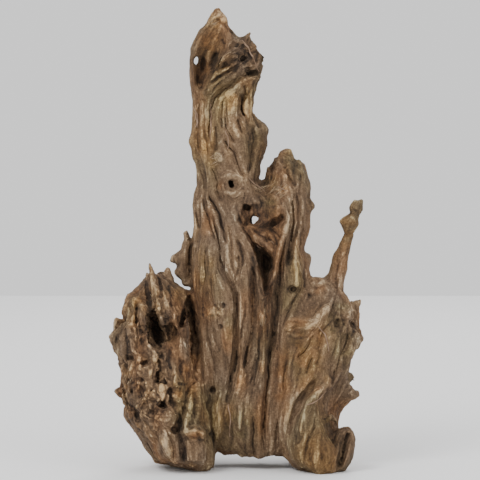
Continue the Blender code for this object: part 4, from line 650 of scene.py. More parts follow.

# Patches of the front, as (tone, stain, *oval); most dark ones without a stain lie over pits, holes, mouths
# and grooves and are painted shade, the rest are the wood's own tones and stains
patches = [
    (0.04, "", -8, 325, 26, 60), (0.02, "", -12, 235, 26, 60), (0.18, "straw", -18, 387, 9, 7),
    (0.16, "ash", -13, 394, 7, 9), (-0.13, "rust", -22, 371, 12, 9), (-0.26, "", -16.5, 358.5, 4.5, 7),
    (-0.30, "", -19, 352, 4, 6), (-0.30, "", -28, 352, 2.6, 6), (-0.24, "rust", -28, 346, 9, 17),
    (0.04, "ash", -37.6, 354, 2.6, 24), (0.02, "ash", 2, 372, 10, 7), (-0.10, "ash", 8, 352, 13, 9),
    (0.12, "straw", -8, 352, 8, 7), (-0.22, "", 5, 363, 6, 5), (-0.16, "", 14, 363, 5, 8),
    (-0.30, "", 7, 356.5, 3.4, 2.6), (-0.12, "", 12, 345.5, 4, 3), (0.06, "rust", 8.5, 334, 6, 6),
    (0.12, "straw", 12.4, 317, 4, 13), (0.14, "straw", -8, 317, 8, 9), (0.02, "rust", 0, 322, 5, 5),
    (0.04, "rust", -31, 316, 6, 14), (0.10, "straw", -27, 281, 3, 5), (-0.08, "olive", 18, 284, 10, 22),
    (0.03, "straw", -20, 267, 5, 5), (-0.30, "", -3.8, 249, 2.4, 3.4), (0.04, "rust", -12, 248, 3.4, 4),
    (-0.28, "", 6, 245, 1.6, 1.6), (-0.14, "", -14.5, 235.5, 5, 3), (-0.30, "ash", 14, 222, 11, 16),
    (-0.14, "ash", 27, 206, 13, 10), (-0.12, "", 30, 224, 12, 8), (-0.02, "olive", 28, 231, 6, 9),
    (-0.14, "", 24, 212, 8, 7), (-0.06, "olive", 30, 250, 6, 8), (-0.30, "", 32, 214, 8, 3.4),
    (-0.14, "", 39, 221, 3.4, 6), (0.06, "rust", 36, 250, 10, 14), (0.12, "straw", 40.5, 244.5, 4, 2.4),
    (0.08, "", 33, 238, 2.6, 2), (-0.10, "ash", 26, 199, 9, 6), (-0.24, "", 26, 200, 1.6, 1.4),
    (-0.42, "", 26, 181, 7, 9), (-0.34, "", 17, 188, 3, 9), (-0.28, "rust", 28, 158, 3.6, 9),
    (0.14, "straw", 53, 183, 4.4, 17), (-0.30, "", 48.5, 158.5, 4.4, 3), (-0.22, "", 53, 161.5, 3, 2),
    (0.08, "rust", 24, 126, 7, 20), (0.12, "straw", -18, 139, 7, 5), (0.02, "ash", -10.5, 144.5, 4, 4),
    (-0.28, "", -13, 126.5, 1.6, 1.6), (0.02, "olive", -6, 127, 4, 10), (0.10, "straw", -28, 180, 11, 16),
    (-0.22, "", -36, 122, 4.6, 32), (-0.16, "", -45, 131.5, 3.2, 7), (-0.20, "", -47, 175, 3.4, 8),
    (0.06, "rust", 5, 79, 5, 10), (-0.26, "", -19.5, 72, 2.6, 2.6), (-0.08, "ash", -20.5, 69, 5, 9),
    (-0.14, "olive", -29.5, 43, 4.4, 5.4), (-0.30, "", -22, 34, 2.4, 3), (-0.26, "", -50, 39, 4.4, 2.6),
    (0.10, "rust", -33, 35, 8, 3.4), (-0.20, "", -44.5, 18, 2.4, 7), (0.08, "straw", -37, 8, 4, 3),
    (-0.14, "", 15.5, 32, 4.4, 14), (-0.02, "ash", -3, 47, 2.6, 5), (0.00, "ash", 10, 36, 3.6, 8),
    (0.10, "rust", 23, 93, 4, 6), (-0.06, "", 6, 18, 22, 12), (0.16, "straw", -93, 88, 4.4, 5),
    (0.16, "straw", -92.5, 73, 2.8, 4), (0.14, "straw", -75, 70, 3.6, 3.6),
    (0.14, "straw", -78, 63, 2.8, 4), (0.16, "straw", -67, 98, 3.2, 2.8), (0.16, "straw", -50, 85, 4, 5),
    (0.12, "straw", -52, 78, 3, 3), (0.16, "straw", -61, 48, 4, 2.4), (0.14, "straw", -62, 29, 2.8, 2.8),
    (0.12, "straw", -56, 21, 2.4, 3), (0.14, "straw", -85, 41, 3.2, 2.8), (0.12, "straw", -43, 91, 2.8, 4),
    (0.02, "rust", -90, 53, 4, 4), (0.02, "rust", -48, 70, 4, 4), (-0.36, "", -62, 60, 4.2, 3.6),
    (-0.26, "", -67, 84, 2.4, 4), (-0.28, "", -61, 79, 3, 2.2), (-0.24, "", -76, 48, 2.4, 2),
    (0.12, "straw", -15.5, 47, 5, 15), (-0.02, "ash", -70.5, 56, 5, 4.4), (-0.24, "", -44, 95, 2, 3),
    (-0.28, "", -48.5, 49, 2.2, 9), (0.00, "ash", -53, 28.5, 3.4, 4), (-0.20, "", -67, 122, 8.4, 16),
    (-0.08, "ash", -57, 131, 7, 9), (-0.04, "", -55, 120.5, 5, 3.4), (0.12, "rust", -79, 143, 3.6, 5),
    (0.06, "straw", -61, 149, 4, 8), (0.07, "ash", -100, 120, 11, 18), (-0.26, "", -89, 118, 1.6, 1.6),
    (-0.24, "", -79, 96, 1.6, 1.6), (0.10, "straw", -71, 166, 3.4, 13), (0.10, "straw", -67, 149, 3.2, 11),
    (-0.10, "rust", -84, 152, 8, 9), (0.04, "rust", -86, 130, 5, 8), (-0.26, "", 64, 153, 2.6, 2.4),
    (-0.10, "rust", 73, 158, 5, 3.4), (-0.12, "rust", 94, 200, 14, 36),
    (-0.04, "olive", 91, 143, 6, 6), (-0.14, "", 101, 224, 4, 2.6), (-0.10, "", 97, 207, 4, 3),
    (-0.10, "ash", 100, 214, 4, 4), (0.04, "rust", 54, 129, 10, 5), (0.06, "straw", 45.5, 124, 3, 2.6),
    (0.08, "straw", 78, 81, 2.6, 3.6), (-0.20, "ash", 53, 30, 3.6, 6), (-0.04, "olive", 77, 45, 8, 6),
    (0.03, "rust", 68, 20, 15, 16), (0.00, "ash", 106, 117, 5, 9), (-0.24, "", 102.5, 126.5, 2, 4.4),
    (0.03, "rust", 62, 105, 14, 22), (-0.05, "rust", 40, 84, 8, 30), (-0.05, "olive", 44, 150, 9, 14),
    (0.02, "ash", 104, 60, 6, 20), (-0.14, "", 70, 141, 10, 7), (-0.12, "olive", 84, 128, 8, 10),
    (-0.12, "", 56, 111, 10, 4), (-0.10, "", 66, 150, 12, 7), (-0.10, "", 88, 152, 5, 5),
    (-0.06, "olive", 60, 100, 18, 26), (-0.04, "olive", 0, 40, 18, 22), (-0.04, "olive", 92, 108, 12, 18),
]
stainNames = ("rust", "straw", "ash", "olive")

# Places where the solid's deep hollows are partly filled again with broken wood, as (share, *oval)
filled = [
    (0.60, -37, 138, 7, 16), (0.85, -37, 106, 8, 22), (1.00, -56, 126, 8, 11), (1.00, -46, 130, 6, 11),
    (0.30, -72, 138, 7, 12), (0.85, 14, 346, 7, 4), (0.85, 38, 221, 9, 8), (0.25, 26, 175, 7, 12),
    (0.70, 58, 62, 16, 24), (0.45, 47, 42, 8, 14), (0.35, 15, 40, 8, 24), (0.4, -70, 112, 8, 8),
]

# Mouths beside a crack that aren't closed with it, as ovals
mouths = [(26, 181, 7, 9), (-62, 60, 4.2, 3.6)]

carving = {
    "crackDepth": 0.34,      # share of the listed depth that the fine crack adds to the solid's own
    "crackWidth": 0.22,      # share of the listed width
    "leastHalf": 0.65,       # what is added to the half width
    "crackSteep": 1.15,      # how soon it is at its full depth, and how square its floor is
    "crackFloor": 0.8,
    "crackEnds": (10, 0.2),  # how fast it opens from its ends, and its share of the depth there
    "coreReach": 1.7,        # reach of its inner part, in half widths
    "closing": 0.88,         # share of the solid's wide cracks that is closed again beside the fine crack
    "coreOpen": 0.62,        # how much less of it is closed in the fine crack itself
    "closeReach": 7.5,       # how far from the fine crack the wide one is closed
    "closeFade": 3,          # and over what length that fades out
    "bridge": 110,           # rounds of smoothing that show how deep a vertex lies in a hollow
    "shallow": 0.4,          # hollows less deep than this are left
    "mostFill": 9,           # and no fill is deeper than this
    "fillSize": 5,           # of the broken wood in the filled hollows, and how unevenly it lies
    "fillBroken": 0.5,
    "backward": 0.2,         # skin that points this far back isn't filled
    "lineHalf": 0.55,        # half width of a fine line as a share of the listed width
    "leastLine": 0.35,       # and what is added to it
    "lineEnds": (8, 0.3),
    "pathReach": 8,          # where a path has no effect any more
    "wander": 0.9,           # how far a line strays from where it was traced
    "wanderSize": 6,
    "leastWall": 4.0,        # wood left behind a crack
    "rayIn": 0.5,            # how deep under the skin the rays start that measure it
}


def nearPath(seen, path):
    # Distance of each seen point from a path, the width there and the share of its length
    track = np.array(path, float)
    lengths = np.hypot(*(track[1:, :2] - track[:-1, :2]).T)
    start = np.concatenate([[0], np.cumsum(lengths)])
    best = np.full(len(seen), 1e9)
    width = np.zeros(len(seen))
    share = np.zeros(len(seen))
    for i, (a, b) in enumerate(zip(track[:-1], track[1:])):
        run = b[:2] - a[:2]
        t = np.clip(((seen - a[:2]) @ run) / (run @ run), 0, 1)
        gap = np.hypot(*(seen - a[:2] - t[:, None] * run).T)
        closer = gap < best
        best = np.where(closer, gap, best)
        width = np.where(closer, a[2] + t * (b[2] - a[2]), width)
        share = np.where(closer, (start[i] + t * lengths[i]) / start[-1], share)
    return best, width, share


def within(seen, path, margin):
    # The seen points that are near enough to a path to matter
    track = np.array(path, float)[:, :2]
    low, high = track.min(axis=0) - margin, track.max(axis=0) + margin
    return np.nonzero(((seen >= low) & (seen <= high)).all(axis=1))[0]


def fromEnds(share, rise, least):
    # From least at both ends of a path to 1 along it
    return np.clip(np.minimum(share, 1 - share) * rise + least, 0, 1)


def openCracks(seen, facing):
    # Depth that the traced cracks add at each vertex, and the parts of the skin in and beside them
    push, core, beside = np.zeros(len(seen)), np.zeros(len(seen)), np.zeros(len(seen))
    for depth, path in cracks:
        near = within(seen, path, carving["pathReach"])
        gap, width, share = nearPath(seen[near], path)
        half = 0.5 * width * carving["crackWidth"] + carving["leastHalf"]
        shape = np.clip(carving["crackSteep"] * (1 - gap / half), 0, 1) ** carving["crackFloor"]
        ends = fromEnds(share, *carving["crackEnds"])
        push[near] = np.maximum(push[near], depth * carving["crackDepth"] * shape * ends)
        core[near] = np.maximum(core[near], np.clip(carving["coreReach"] - gap / half, 0, 1) * ends)
        closing = np.clip((carving["closeReach"] - gap) / carving["closeFade"], 0, 1)
        beside[near] = np.maximum(beside[near], closing)
    return push * facing, core, beside * facing


def fillings(points, normals, seen, core, beside):
    # How far the solid's wide cracks and deep hollows are filled again
    behind = points[:, 1] - spread(points[:, 1], carving["bridge"]) - carving["shallow"]
    behind = np.clip(behind, 0, carving["mostFill"])
    closed = carving["closing"] * behind * beside * (1 - carving["coreOpen"] * core)
    for oval in mouths:
        closed *= ovalShare(seen, oval, "mouths") == 0
    broken = carving["fillBroken"] * cellNoise(points, carving["fillSize"], 44, 0.4)
    for share, *oval in filled:
        fill = np.clip(share + broken, 0, 1) * behind * ovalShare(seen, oval, "filled")
        closed = np.maximum(closed, fill * (normals[:, 1] < carving["backward"]))
    return closed


def drawLines(seen, facing):
    # Depth and tone, with its painted shade and highlights, that the finer lines give each vertex
    push, shade = np.zeros(len(seen)), np.zeros(len(seen))
    for tone, depth, path in fineLines:
        near = within(seen, path, carving["pathReach"])
        gap, width, share = nearPath(seen[near], path)
        half = carving["lineHalf"] * width + carving["leastLine"]
        shape = np.exp(-(gap / half) ** 2) * fromEnds(share, *carving["lineEnds"])
        push[near] += depth * shape
        shade[near] += tone * shape
    return push * facing, shade * facing


def keepingWall(wood, points, push):
    # The push into the wood, less where it would leave too thin a wall
    tree = treeOf(wood)
    for i in np.nonzero(push > 0.05)[0]:
        hit = tree.ray_cast(Vector(points[i] + (0, carving["rayIn"], 0)) * mm, Vector((0, 1, 0)))[0]
        if hit:
            push[i] = min(push[i], max(hit.y / mm - points[i][1] - carving["leastWall"], 0))
    return push


def paintPatches(seen, facing):
    # Tone, with painted shade over pits and holes, and stains that the patches give each vertex
    shade = np.zeros(len(seen))
    stains = {name: np.zeros(len(seen)) for name in stainNames}
    for tone, stain, *oval in patches:
        share = ovalShare(seen, oval, "patches") * facing
        shade += tone * share
        if stain:
            stains[stain] = np.maximum(stains[stain], share)
    return shade, stains


strays = [cellNoise(points, carving["wanderSize"], seed) for seed in (41, 42)]
seen = asSeen(points) + carving["wander"] * np.stack(strays, axis=1)
crackPush, crackCore, beside = openCracks(seen, facing)
points[:, 1] -= fillings(points, normals, seen, crackCore, beside)
linePush, lineToneAndPaintedLight = drawLines(seen, facing)
crackPush = keepingWall(wood, points, crackPush + linePush)
points[:, 1] += crackPush
putPoints(wood, points)
normals = normalsOf(wood)
report("cracks opened")


# Fibres

grain = {
    "lean": 0.30,            # how far the fibres spread outward towards the feet, in radians
    "middle": 10,            # x of the line that they spread from
    "spreadOver": 90,        # distance from it at which they lean fully
    "feet": 40,              # height up to which they lean fully
    "easeOver": 200,         # height over which half of the lean goes
    "wave": 0.16,            # how far they swing, in radians
    "waveTall": 26,          # height and depth over which a swing comes and goes
    "waveDeep": 17,
    "smallWave": 0.10,
    "smallWaveTall": 11,
    "ownWay": 0.0035,        # weight of the plain upward direction against the traced lines
    "reach": 26,             # how far from a traced line the fibres still follow it
    "softness": 9,           # square of the distance within which a line's pull hardly grows
    "evening": 12,           # rounds that even the directions out
    # where they swirl, as (*oval, strength)
    "burl": [(-78, 136, 36, 40, 0.5), (-75, 72, 36, 44, 1), (-42, 60, 24, 34, 0.45),
             (6, 356, 16, 18, 0.40), (28, 232, 18, 22, 0.35), (98, 140, 14, 30, 0.45),
             (78, 150, 26, 16, 0.25), (100, 70, 14, 50, 0.3), (40, 272, 20, 12, 0.35),
             (-18, 394, 14, 10, 0.25), (20, 340, 8, 14, 0.25)],
    "swirl": 1.25,           # how far they swirl, in radians
    "swirlGain": 1.6,        # lifts the noise for it, which seldom comes near 1
    "swirlSize": 22,
    "seed": 5,
    "mostDrift": 1.2,        # grid steps that a walk along the grain may stand off its vertex
}


def burlShare(seen):
    share = np.zeros(len(seen))
    for *oval, strength in grain["burl"]:
        share = np.maximum(share, strength * ovalShare(seen, oval, "burl"))
    return share


def alongSkin(vectors, normals):
    return vectors - (vectors * normals).sum(axis=1)[:, None] * normals


def grainField(points, normals, seen, facing):
    # Direction of the fibres at each vertex, along the skin, and their lean from upright
    side = np.clip((points[:, 0] - grain["middle"]) / grain["spreadOver"], -1, 1)
    lean = grain["lean"] * side * (1 - 0.5 * rampUp(points[:, 2], grain["feet"], grain["easeOver"]))
    wave = np.sin(points[:, 2] / grain["waveTall"] + points[:, 1] / grain["waveDeep"])
    smallWave = np.sin(points[:, 2] / grain["smallWaveTall"] + 2)
    lean = lean + grain["wave"] * wave + grain["smallWave"] * smallWave
    swirl = grain["swirl"] * burlShare(seen) * grain["swirlGain"]
    lean = lean + swirl * cellNoise(points, grain["swirlSize"], 31)
    # Angles are doubled while they are summed, so that up and down count as one direction
    turned = 2 * (np.pi / 2 - lean)
    double = grain["ownWay"] * np.stack([np.cos(turned), np.sin(turned)], axis=1)
    reach = grain["reach"]
    for path in [[(x, height) for x, height, _ in path] for _, path in cracks] + fibreLines:
        near = within(seen, path, reach)
        near = near[facing[near] > 0.02]
        for a, b in zip(path[:-1], path[1:]):
            a, b = np.array(a, float), np.array(b, float)
            run = b - a
            t = np.clip(((seen[near] - a) @ run) / (run @ run), 0, 1)
            gap2 = ((seen[near] - a - t[:, None] * run) ** 2).sum(axis=1)
            pull = 1 / (gap2 + grain["softness"]) ** 1.5
            weight = pull * np.clip(1 - gap2 / reach ** 2, 0, 1) * facing[near]
            turn = 2 * math.atan2(run[1], run[0])
            double[near] += weight[:, None] * np.array([math.cos(turn), math.sin(turn)])
    double /= np.linalg.norm(double, axis=1)[:, None] + 1e-9
    double = spread(double, grain["evening"])
    angle = np.arctan2(double[:, 1], double[:, 0]) / 2
    flow = alongSkin(np.stack([np.cos(angle), np.zeros(len(points)), np.sin(angle)], axis=1), normals)
    flow[np.linalg.norm(flow, axis=1) < 0.05] = (0, 0.6, 0.8)      # where the skin lies square to the grain
    flow /= np.linalg.norm(flow, axis=1)[:, None]
    return flow, np.pi / 2 - angle


# Streaks along the grain, as (width, half length, height of the relief)
streaks = {
    "cords": (10.0, 50, 0.55),
    "strands": (3.8, 30, 0.40),
    "fibres": (1.8, 16, 0.22),
}


def alongGrain(points, normals, flow, fields, reaches):
    # Each field averaged along the grain, walking from vertex to neighbouring vertex both ways
    points, normals, flow = (values.astype(np.float32) for values in (points, normals, flow))
    n = len(points)
    step = skin["voxel"]
    everyRing = np.concatenate([rings, np.arange(n, dtype=np.int32)[:, None]], axis=1)
    sums = [field.copy() for field in fields]
    weights = [1.0 for _ in fields]
    for sign in (1, -1):
        at = np.arange(n)
        spot = points.copy()
        heading = flow * np.float32(sign)
        for k in range(1, int(max(reaches) / step) + 1):
            ahead = flow[at]
            ahead *= np.sign((ahead * heading).sum(axis=1) + 1e-9)[:, None]
            heading = ahead
            spot = spot + ahead * np.float32(step)
            best = np.full(n, 1e9, np.float32)
            chosen = at
            for column in range(everyRing.shape[1]):
                there = everyRing[at, column]
                gap = points[there] - spot
                far = np.einsum("ij,ij->i", gap, gap)
                closer = far < best
                best = np.where(closer, far, best)
                chosen = np.where(closer, there, chosen)
            at = chosen
            away = alongSkin(spot - points[at], normals[at])
            reach = np.linalg.norm(away, axis=1)
            away *= (np.minimum(reach, grain["mostDrift"] * step) / (reach + 1e-9))[:, None]
            spot = points[at] + away
            for j, field in enumerate(fields):
                if k * step < reaches[j]:
                    share = 1 - k * step / reaches[j]
                    sums[j] += share * field[at]
                    weights[j] += share
    return [total / weight for total, weight in zip(sums, weights)]


def comb(points, normals, flow):
    # The streaks by name, each brought to a middle of 0 and a spread of 1
    fields = [cellNoise(points, width, grain["seed"] + k) for k, (width, _, _) in enumerate(streaks.values())]
    combed = alongGrain(points, normals, flow, fields, [halfLong for _, halfLong, _ in streaks.values()])
    combed = [values - values.mean() for values in combed]
    return {name: values / values.std() for name, values in zip(streaks, combed)}


flow, lean = grainField(points, normals, seen, facing)
report("grain laid")
combed = comb(points, normals, flow)
report("streaks combed")


# Relief

# The burl, where the wood is all knobs, shards and worm holes
knobs = {
    "kinds": [(9.5, 2.3, 1), (4.6, 1.2, 2)],     # (from knob to knob, height, seed)
    "upright": 0.72,         # they are taller than wide where this is below 1
    "bend": 2.2,             # how far their borders wander
    "bendSize": 7,
    "crease": 0.55,          # width of the creases between them, as a share of their size
    "roundness": 0.7,        # of their domes
    "sunk": 0.6,             # share of their height that lies below the skin
    "even": 0.6,             # height of the lowest against the listed one, and how much more the highest have
    "uneven": 0.8,
    "holeShare": 0.16,       # share of the knobs that are worm holes instead
    "holeSize": 0.34,        # as a share of the knob's size
    "holeEdge": 1.25,
    "holeDepth": 2.6,
    "tones": (0.13, 0.10, 0.25),     # painted shade from crease to dome (darker creases, lighter domes), random tone from knob to knob, and painted shade darkening the holes
}


def knobbly(points, burl):
    # Height and tone of knobs and worm holes, with painted shade in their creases and holes and a painted
    # highlight on their domes
    height, tone = np.zeros(len(points)), np.zeros(len(points))
    on = np.nonzero(burl > 0.02)[0]
    bends = np.stack([cellNoise(points[on], knobs["bendSize"], 91 + k) for k in range(3)], axis=1)
    spots = points[on] * (1, 1, knobs["upright"]) + knobs["bend"] * bends
    creaseShadeDomeHighlight, knobTone, holeShade = knobs["tones"]
    for size, tall, seed in knobs["kinds"]:
        first, second, luck = nearSeeds(spots, size, seed)
        dome = np.clip((second - first) / knobs["crease"], 0, 1) ** knobs["roundness"]
        hole = (luck < knobs["holeShare"]) * np.clip(knobs["holeEdge"] - first / knobs["holeSize"], 0, 1)
        lift = tall * (dome - knobs["sunk"]) * (knobs["even"] + knobs["uneven"] * luck)
        height[on] += burl[on] * (lift - knobs["holeDepth"] * hole)
        # painted shade in creases and holes, painted highlight on domes, random tone from knob to knob
        tone[on] += burl[on] * (creaseShadeDomeHighlight * (dome - 0.75) + knobTone * (luck - 0.5) - holeShade * hole)
    return height, tone


# Places where the wood is worn smoother, as (*oval, share of the relief that goes)
worn = [(-25, 356, 15, 24, 0.75), (-6, 250, 9, 9, 0.5), (52, 124, 14, 9, 0.4)]

rough = {
    "plain": 0.65,           # height of the streaks everywhere, as a share
    "varied": 0.5,           # and how much more or less of it there is from place to place
    "variedSize": 38,
    "ridge": 0.7,            # height of the ridges and depth of the narrow grooves against the listed heights
    "groove": 1.5,
    "grooveAt": 0.25,        # how far below the middle of a streak they run
    "grooveWidth": 0.16,
    "lumps": 0.35,           # height of the uneven swellings
    "lumpSize": 14,
    "chips": 0.42,           # height of the broken, chipped relief
    "chipSize": 4.5,
    "chipsPlain": 0.35,      # share of it everywhere, and what the burl has more
    "chipsBurl": 0.8,
    "flake": 0.45,           # height of one layer where the wood flakes off
    "flakeSteps": 1.3,
    "flakeShare": 0.6,
    "flakeNoise": 0.8,       # how much its borders stray from the cords, and over what length
    "flakeSize": 9,
    "flakeLip": (0.78, 0.22),    # where a layer steps up, and over how much of its width
    "flakeShade": (0.55, 0.25),  # where painted shade darkens the foot of its step
    "flakeEnd": 0.86,
    "burlCalm": 0.45,        # share of all that which the burl goes without
    "armCalm": 0.3,          # share of it that the thin arm goes without
    "armHeight": (150, 30),  # where the arm starts, and over what length
    "armRight": (70, 8),
    "footFade": 3,           # height over which it starts above the floor
}


def reliefOf(points, seen, facing, burl):
    # Height of the relief at each vertex, where painted shade goes at the foot of its flakes' steps, and the
    # tone of its knobs with their painted shade
    vary = rough["plain"] + rough["varied"] * cellNoise(points, rough["variedSize"], 51)
    relief = np.zeros(len(points))
    for name, values in combed.items():
        groove = np.exp(-((values + rough["grooveAt"]) / rough["grooveWidth"]) ** 2)
        relief += streaks[name][2] * vary * (rough["ridge"] * np.tanh(values) - rough["groove"] * groove)
    strayed = rough["flakeNoise"] * cellNoise(points, rough["flakeSize"], 64, 0.35)
    layer = combed["cords"] * rough["flakeSteps"] + strayed
    rise = layer - np.floor(layer)
    steps = np.floor(layer) + rampUp(rise, *rough["flakeLip"]) ** 2
    relief += rough["flake"] * steps * rough["flakeShare"] * vary
    # painted shade at the foot of each step, where the next layer rises
    flakeFootShade = rampUp(rise, *rough["flakeShade"]) * (rise < rough["flakeEnd"])
    relief += rough["lumps"] * cellNoise(points, rough["lumpSize"], 63)
    chips = 1 - 2 * np.abs(roughNoise(points, rough["chipSize"], 61))
    relief += rough["chips"] * chips * (rough["chipsPlain"] + rough["chipsBurl"] * burl)
    bumps, knobTone = knobbly(points, burl)
    relief = relief * (1 - rough["burlCalm"] * burl) + bumps
    arm = rampUp(points[:, 2], *rough["armHeight"]) * rampUp(points[:, 0], *rough["armRight"])
    relief *= 1 - rough["armCalm"] * arm
    smooth = np.zeros(len(points))
    for *oval, share in worn:
        smooth = np.maximum(smooth, share * ovalShare(seen, oval, "worn") * facing)
    relief *= 1 - smooth
    relief *= rampUp(points[:, 2], 0, rough["footFade"])
    return relief, flakeFootShade, knobTone


burl = burlShare(seen)
relief, flakeFootShade, knobTone = reliefOf(points, seen, facing, burl)
points = points + normals * relief[:, None]
putPoints(wood, points)
normals = normalsOf(wood)
report("relief raised")


# Tones with painted shade and highlights, and stains

tones = {
    "middle": 0.53,
    "cords": 0.020, "strands": 0.030, "fibres": 0.030,
    "slow": 0.14,            # wide lighter and darker areas
    "slowSize": 24,
    "mottle": 0.10,
    "mottleSize": 6,
    "nearRounds": 8,         # rounds of smoothing that give a spot's surroundings
    "farRounds": 60,         # and its wider surroundings
    "hollow": 0.27,          # painted shade: darkening for each millimetre that a spot lies below its surroundings
    "edge": 0.36,            # painted highlight: lightening for each millimetre that it stands proud
    "wide": 0.06,            # painted shade for each millimetre below the wider surroundings, and painted highlight where above them
    # painted shade in the opened cracks, for each millimetre of their depth
    "crackShade": 0.02,
    # painted shade at the foot of each flake's step
    "flake": 0.10,
    "lines": 0.85,           # share of the listed tones that the fine lines get
    "linesPlain": 0.62,      # share of a pale line that the fibres don't break up, and what they do
    "linesBroken": 0.38,
    "linesSize": 3,
    "stainPlain": 0.75,      # strength of the patches' stains everywhere, and how it varies
    "stainVaried": 0.5,
    "stainSize": 5,
    "burlStrawAndHighlight": 0.8,        # straw tint on the palest knobs: partly their own colour, partly a painted highlight on domes and proud edges
    "burlPale": 0.62,        # tone at which it starts, and how fast it sets in
    "burlGain": 5,
}

# Limits between which each of them counts
toneLimits = {"streaks": (-2, 2), "hollow": (0, 0.7), "edge": (0, 0.6), "wide": (-1.2, 2.0), "crackShade": (0, 2),
              "lines": (-1.2, 1.2)}

# Stains that lie about at random, as (size, seed, strength), and how much of the wood they leave bare
blots = {"rust": (15, 81, 0.8), "straw": (10, 82, 0.35), "ash": (16, 83, 0.9), "olive": (24, 84, 0.9)}
blotGain, blotBare = 2.0, 0.3


def toneOf(points, normals, knobTone, patchToneAndShade):
    # Tone of each vertex, from 0 for the darkest wood to 1 for the palest, with painted shade in hollows and
    # cracks and painted highlights where the skin stands proud
    soft = spread(points, tones["nearRounds"])
    softer = spread(soft, tones["farRounds"])
    low = ((soft - points) * normals).sum(axis=1)
    lowWide = ((softer - points) * normals).sum(axis=1)
    tone = np.full(len(points), tones["middle"])
    for name, values in combed.items():
        tone += tones[name] * np.clip(values, *toneLimits["streaks"])
    tone += tones["slow"] * cellNoise(points, tones["slowSize"], 71, 0.4)
    tone += tones["mottle"] * cellNoise(points, tones["mottleSize"], 72, 0.5)
    # painted shade in the hollows
    tone -= tones["hollow"] * np.clip(low, *toneLimits["hollow"])
    # painted highlight where the skin stands proud
    tone += tones["edge"] * np.clip(-low, *toneLimits["edge"])
    # painted shade below the wider surroundings, painted highlight above them
    tone -= tones["wide"] * np.clip(lowWide, *toneLimits["wide"])
    # painted shade in the opened cracks
    tone -= tones["crackShade"] * np.clip(crackPush, *toneLimits["crackShade"])
    # painted shade at the foot of each flake's step
    tone -= tones["flake"] * flakeFootShade
    # fine lines: partly the fibres' own colour, partly painted shade in carved grooves and painted highlight
    # on raised ridges
    gaps = np.clip(combed["strands"] + cellNoise(points, tones["linesSize"], 73), *toneLimits["lines"])
    broken = tones["linesPlain"] + tones["linesBroken"] * gaps
    lines = np.where(lineToneAndPaintedLight > 0, tones["lines"] * broken, tones["lines"]) * lineToneAndPaintedLight
    return np.clip(tone + (lines + patchToneAndShade + knobTone), 0, 1)


def addBlots(points, stains, tone, burl):
    for name, (size, seed, most) in blots.items():
        loose = np.clip(blotGain * cellNoise(points, size, seed, 0.45) - blotBare, 0, 1) * most
        uneven = tones["stainPlain"] + tones["stainVaried"] * cellNoise(points, tones["stainSize"], seed + 5)
        stains[name] = np.maximum(stains[name] * uneven, loose)
    # straw tint on the palest knobs of the burl, partly own colour and partly painted highlight
    pale = tones["burlStrawAndHighlight"] * burl * np.clip(tones["burlGain"] * (tone - tones["burlPale"]), 0, 1)
    stains["straw"] = np.maximum(stains["straw"], pale)


def store(obj, name, kind, field, values):
    layer = obj.data.attributes.new(name, kind, "POINT")
    layer.data.foreach_set(field, values.astype(np.float32).ravel())


patchToneAndShade, stains = paintPatches(seen, facing)
tone = toneOf(points, normals, knobTone, patchToneAndShade)
addBlots(points, stains, tone, burl)
# the tone attribute carries the painted shade and highlights along with the wood's own tones
store(wood, "tone", "FLOAT", "value", tone)
store(wood, "stains", "FLOAT_COLOR", "color", np.stack([stains[name] for name in stainNames], axis=1))

# Shares of the six directions that the fine grain is drawn in, 30 degrees apart
turns = [k * math.pi / 6 for k in range(6)]
shares = []
for turn in turns:
    off = np.abs((lean - turn + np.pi / 2) % np.pi - np.pi / 2)
    shares.append(np.clip(1 - off / (np.pi / 6), 0, 1))
ones = np.ones(len(points))
grainLayers = {"grainA": turns[:3], "grainB": turns[3:]}
for name, some in zip(grainLayers, (shares[:3], shares[3:])):
    store(wood, name, "FLOAT_COLOR", "color", np.stack(some + [ones], axis=1))
report("tones found")


# Thinning

thinning = {
    "mostTriangles": 197000,
    "seen": 1.2,             # how strongly the front is spared
    "least": 0.15,           # weight of the front against 1 for the rest
    "groupFactor": 0.0001,
}


def thinned(obj):
    # Fewer triangles, most of them kept where the camera looks
    coarse = obj.vertex_groups.new(name="coarse")
    weights = np.round(np.clip(1 - thinning["seen"] * facing, thinning["least"], 1), 1)
    for weight in np.unique(weights):
        coarse.add(np.nonzero(weights == weight)[0].tolist(), float(weight), "REPLACE")
    thin = obj.modifiers.new("thin", "DECIMATE")
    thin.ratio = thinning["mostTriangles"] / len(obj.data.polygons)
    thin.vertex_group = "coarse"
    thin.vertex_group_factor = thinning["groupFactor"]
    applyModifiers(obj)
    obj.vertex_groups.clear()
    obj.data.shade_smooth()


def withoutCrumbs(obj):
    # Keeps the largest part that holds together, without the crumbs that thinning cuts loose
    bm = bmesh.new()
    bm.from_mesh(obj.data)
    left = set(bm.verts)
    parts = []
    while left:
        found = [left.pop()]
        for vert in found:
            others = {edge.other_vert(vert) for edge in vert.link_edges} & left
            left -= others
            found.extend(others)
        parts.append(found)
    parts.sort(key=len)
    bmesh.ops.delete(bm, geom=[vert for part in parts[:-1] for vert in part], context="VERTS")
    bm.to_mesh(obj.data)
    bm.free()


thinned(wood)
withoutCrumbs(wood)
low, high = np.array(cadBox[0]) / mm, np.array(cadBox[1]) / mm
putPoints(wood, np.clip(pointsOf(wood), low, high))      # kept inside the solid's box
report(f"thinned to {len(wood.data.polygons)} triangles")


# Colour

